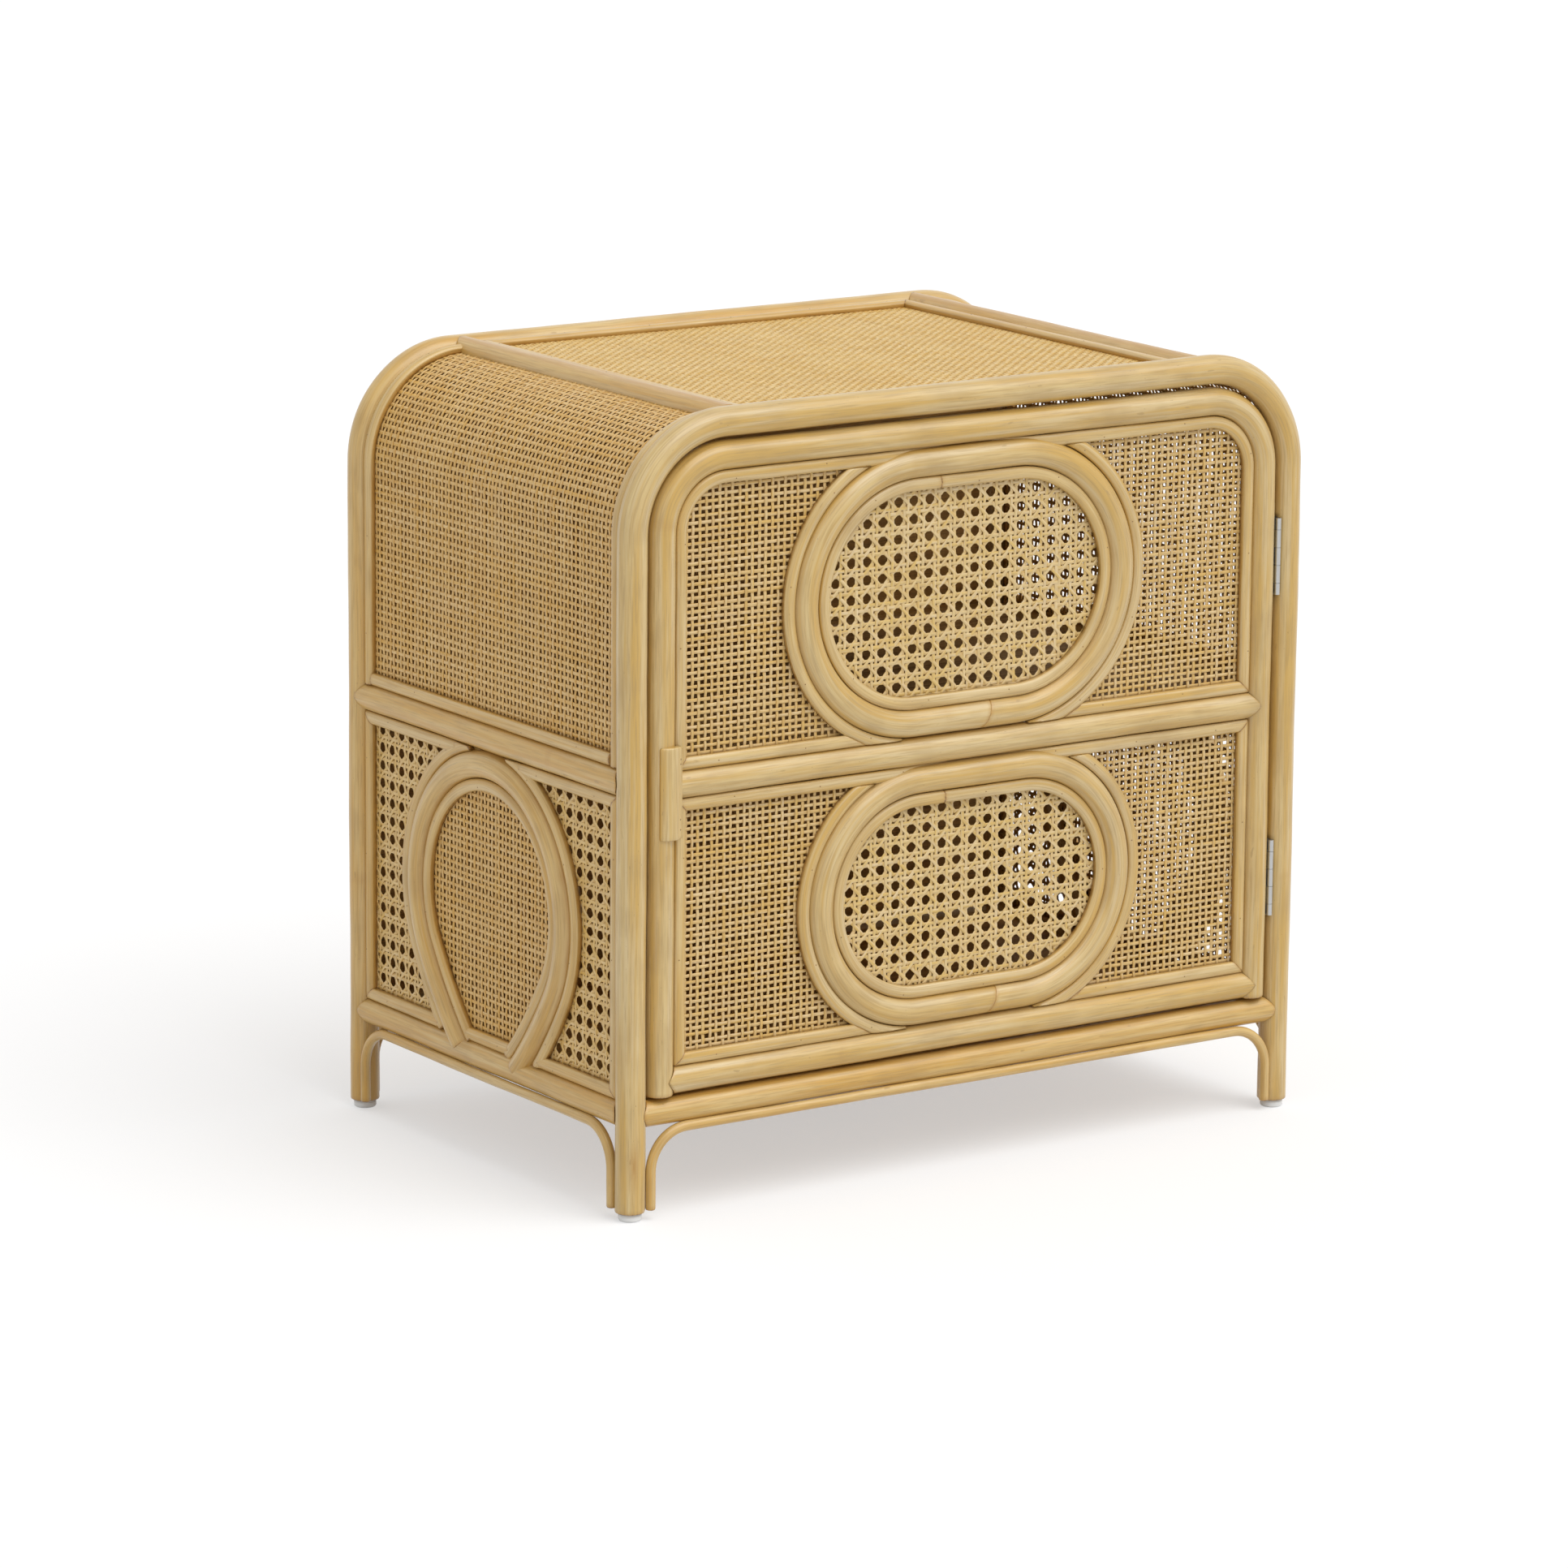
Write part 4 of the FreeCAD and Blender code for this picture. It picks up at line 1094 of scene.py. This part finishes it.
def plated_steel(name, colour, rough):
    """Zinc-plated steel: faint rolling lines and uneven dullness."""
    material, tree, shader = new_material(name)
    rolling = noise(added(tree, "TexCoord").outputs["Object"], (900, 900, 60), 4)
    wire(shader, {
        "Base Color": ramped(rolling, tuple(0.72 * c for c in colour), colour),
        "Roughness": spread(rolling, 0.0, 1.0, rough + 0.1, rough - 0.08),
        "Metallic": 1.0,
    })
    return material


hinge_steel = plated_steel("hinge_steel", (0.60, 0.60, 0.59), 0.36)
for node in ("hinge_frame_leaves", "hinge_door_leaves", "hinge_pins"):
    finish_node(node, hinge_steel)


def screw(place, facing, radius=0.0032):
    """A countersunk screw head with a round recess, standing a hair proud."""
    rim = [(radius, -0.0006), (radius, 0.0001), (radius * 0.9, 0.00035)]
    recess = [(radius * 0.42, 0.0004), (radius * 0.3, 0.0)]
    points, *rest = turned(rim + recess, (0, 0, 0), 24)
    turn = np.array(Vector(facing).to_track_quat("Z", "Y").to_matrix())
    return points @ turn.T + np.array(place), *rest


frame_screws = [screw((leaf_high.x - leaf_thick, screw_y, z), (-1, 0, 0)) for z in screw_rows]
door_screws = [screw((door_leaf_face + leaf_thick, screw_y, z), (1, 0, 0)) for z in screw_rows]
piece("frame_leaf_screws", frame_screws, "carcass", "hinge_steel", hinge_steel)
piece("door_leaf_screws", door_screws, "door", "hinge_steel", hinge_steel)

# Magnetic catch. An off-white plastic body with two ears, screwed up under the shelf. The steel edges of its
# magnet face a steel strike plate, that two screws hold on the back of the door's middle rail.
catch_low, catch_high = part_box("magnetic_catch")
catch_x = (catch_low.x + catch_high.x) / 2
body_half = 0.013
ear_thick = 0.004
ear_inset = 0.004
lip = 0.0008
magnet_half = 0.009
magnet_deep = 0.012
magnet_thick = 0.0016
magnet_inset = 0.0030
small_screw = 0.0028


def block(low, high, edge):
    """A block between two corners, its edges eased."""
    shape = bmesh.new()
    bmesh.ops.create_cube(shape, size=1.0)
    for vert in shape.verts:
        vert.co = [a + (b - a) * (c + 0.5) for a, b, c in zip(low, high, vert.co)]
    bmesh.ops.bevel(shape, geom=shape.edges[:], offset=edge, segments=2, profile=0.5, affect="EDGES")
    bmesh.ops.triangulate(shape, faces=shape.faces[:])
    shape.verts.index_update()
    points = np.array([vert.co for vert in shape.verts])
    tris = np.array([[vert.index for vert in face.verts] for face in shape.faces])
    shape.free()
    return points, np.zeros((0, 4), int), tris, points, np.zeros(len(points))


catch_plastic = moulded("catch_plastic", (0.74, 0.71, 0.65), (0.62, 0.59, 0.53), 0.5)
catch_body = [
    block((catch_x - body_half, catch_low.y + lip, catch_low.z),
          (catch_x + body_half, catch_high.y, catch_high.z), 0.0012),
    block((catch_low.x, catch_low.y + ear_inset, catch_high.z - ear_thick),
          (catch_high.x, catch_high.y - ear_inset, catch_high.z), 0.001),
]
piece("catch_body", catch_body, "carcass", "catch_plastic", catch_plastic, "magnetic_catch")
magnet_steel = [
    block((catch_x - magnet_half, catch_low.y, z),
          (catch_x + magnet_half, catch_low.y + magnet_deep, z + magnet_thick), 0.0003)
    for z in (catch_low.z + magnet_inset, catch_high.z - magnet_inset - magnet_thick)
]
ear_x = (body_half + catch_high.x - catch_x) / 2
ear_y = (catch_low.y + catch_high.y) / 2
ear_z = catch_high.z - ear_thick
magnet_steel += [screw((catch_x + way * ear_x, ear_y, ear_z), (0, 0, -1), small_screw) for way in (-1, 1)]
piece("catch_magnet_edges", magnet_steel, "carcass", "hinge_steel", hinge_steel, "magnetic_catch")
strike_low, strike_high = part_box("catch_strike")
strike_mid = (strike_low + strike_high) / 2
strike_face = strike_high.y - 0.0004
strike_reach = 0.010
strike = [block(strike_low, strike_high, 0.0005)]
strike += [
    screw((strike_mid.x + way * strike_reach, strike_face, strike_mid.z), (0, 1, 0), small_screw)
    for way in (-1, 1)
]
piece("strike_plate", strike, "door", "hinge_steel", hinge_steel, "catch_strike")

# Studio. No part of the cabinet: a plain pale floor, an even white room, and one broad soft lamp from the
# front and above.
floor_reach = 40.0
floor_mesh = bpy.data.meshes.new("floor")
floor_corners = [(x * floor_reach, y * floor_reach, 0) for x, y in ((-1, -1), (1, -1), (1, 1), (-1, 1))]
floor_mesh.from_pydata(floor_corners, [], [(0, 1, 2, 3)])
floor = bpy.data.objects.new("floor", floor_mesh)
bpy.context.scene.collection.objects.link(floor)


def either(first, second):
    """The larger of two values, for kinds of ray: 1 if the ray is of either kind."""
    return added(first.id_data, "Math", {0: first, 1: second}, operation="MAXIMUM").outputs[0]


floor_paint, tree, shader = new_material("pale_floor")
ray = added(tree, "LightPath").outputs
seen = either(ray["Is Camera Ray"], ray["Is Glossy Ray"])
wire(shader, {
    "Base Color": mixed(seen, (0.80, 0.80, 0.80), (1.0, 1.0, 1.0)),
    "Roughness": 0.9,
    "Specular IOR Level": 0.0,
})
glow = added(tree, "Emission").outputs[0]
lifted = added(tree, "MixShader", {0: spread(seen, 0.0, 1.0, 0.5), 1: shader.outputs[0], 2: glow})
wire(tree.nodes["Material Output"], {"Surface": lifted.outputs[0]})
floor_mesh.materials.append(floor_paint)

room = bpy.data.worlds.new("white_room")
bpy.context.scene.world = room
room.use_nodes = True
ray = added(room.node_tree, "LightPath").outputs
clear = either(either(ray["Is Camera Ray"], ray["Is Transmission Ray"]), ray["Is Glossy Ray"])
wire(room.node_tree.nodes["Background"], {"Color": (1, 1, 1), "Strength": spread(clear, 0.0, 1.0, 1.0, 0.64)})

key = bpy.data.lights.new("soft_key", "SUN")
key.energy = 1.7
key.angle = math.radians(50)
lamp = bpy.data.objects.new("soft_key", key)
lamp.rotation_euler = Vector((0.22, -0.50, 0.84)).to_track_quat("Z", "Y").to_euler()
bpy.context.scene.collection.objects.link(lamp)

# Camera. A long lens from the front left, a little above the top, turned so that the cabinet stands in the
# frame as it does in the picture.
lens_pixels = 8710.5
image_pixels = 1932
yaw = math.radians(34.342)
pitch = math.radians(12.679)
roll = math.radians(0.493)
stand = (-3.375, -4.8798, 1.6211)
camera_data = bpy.data.cameras.new("camera")
camera_data.sensor_width = 36.0
camera_data.lens = lens_pixels / image_pixels * camera_data.sensor_width
camera_data.clip_end = 200.0
camera = bpy.data.objects.new("camera", camera_data)
turn = Matrix.Rotation(-yaw, 4, "Z") @ Matrix.Rotation(math.pi / 2 - pitch, 4, "X")
camera.matrix_world = Matrix.Translation(stand) @ (turn @ Matrix.Rotation(roll, 4, "Z"))
bpy.context.scene.collection.objects.link(camera)
bpy.context.scene.camera = camera
bpy.context.scene.view_settings.view_transform = "Standard"
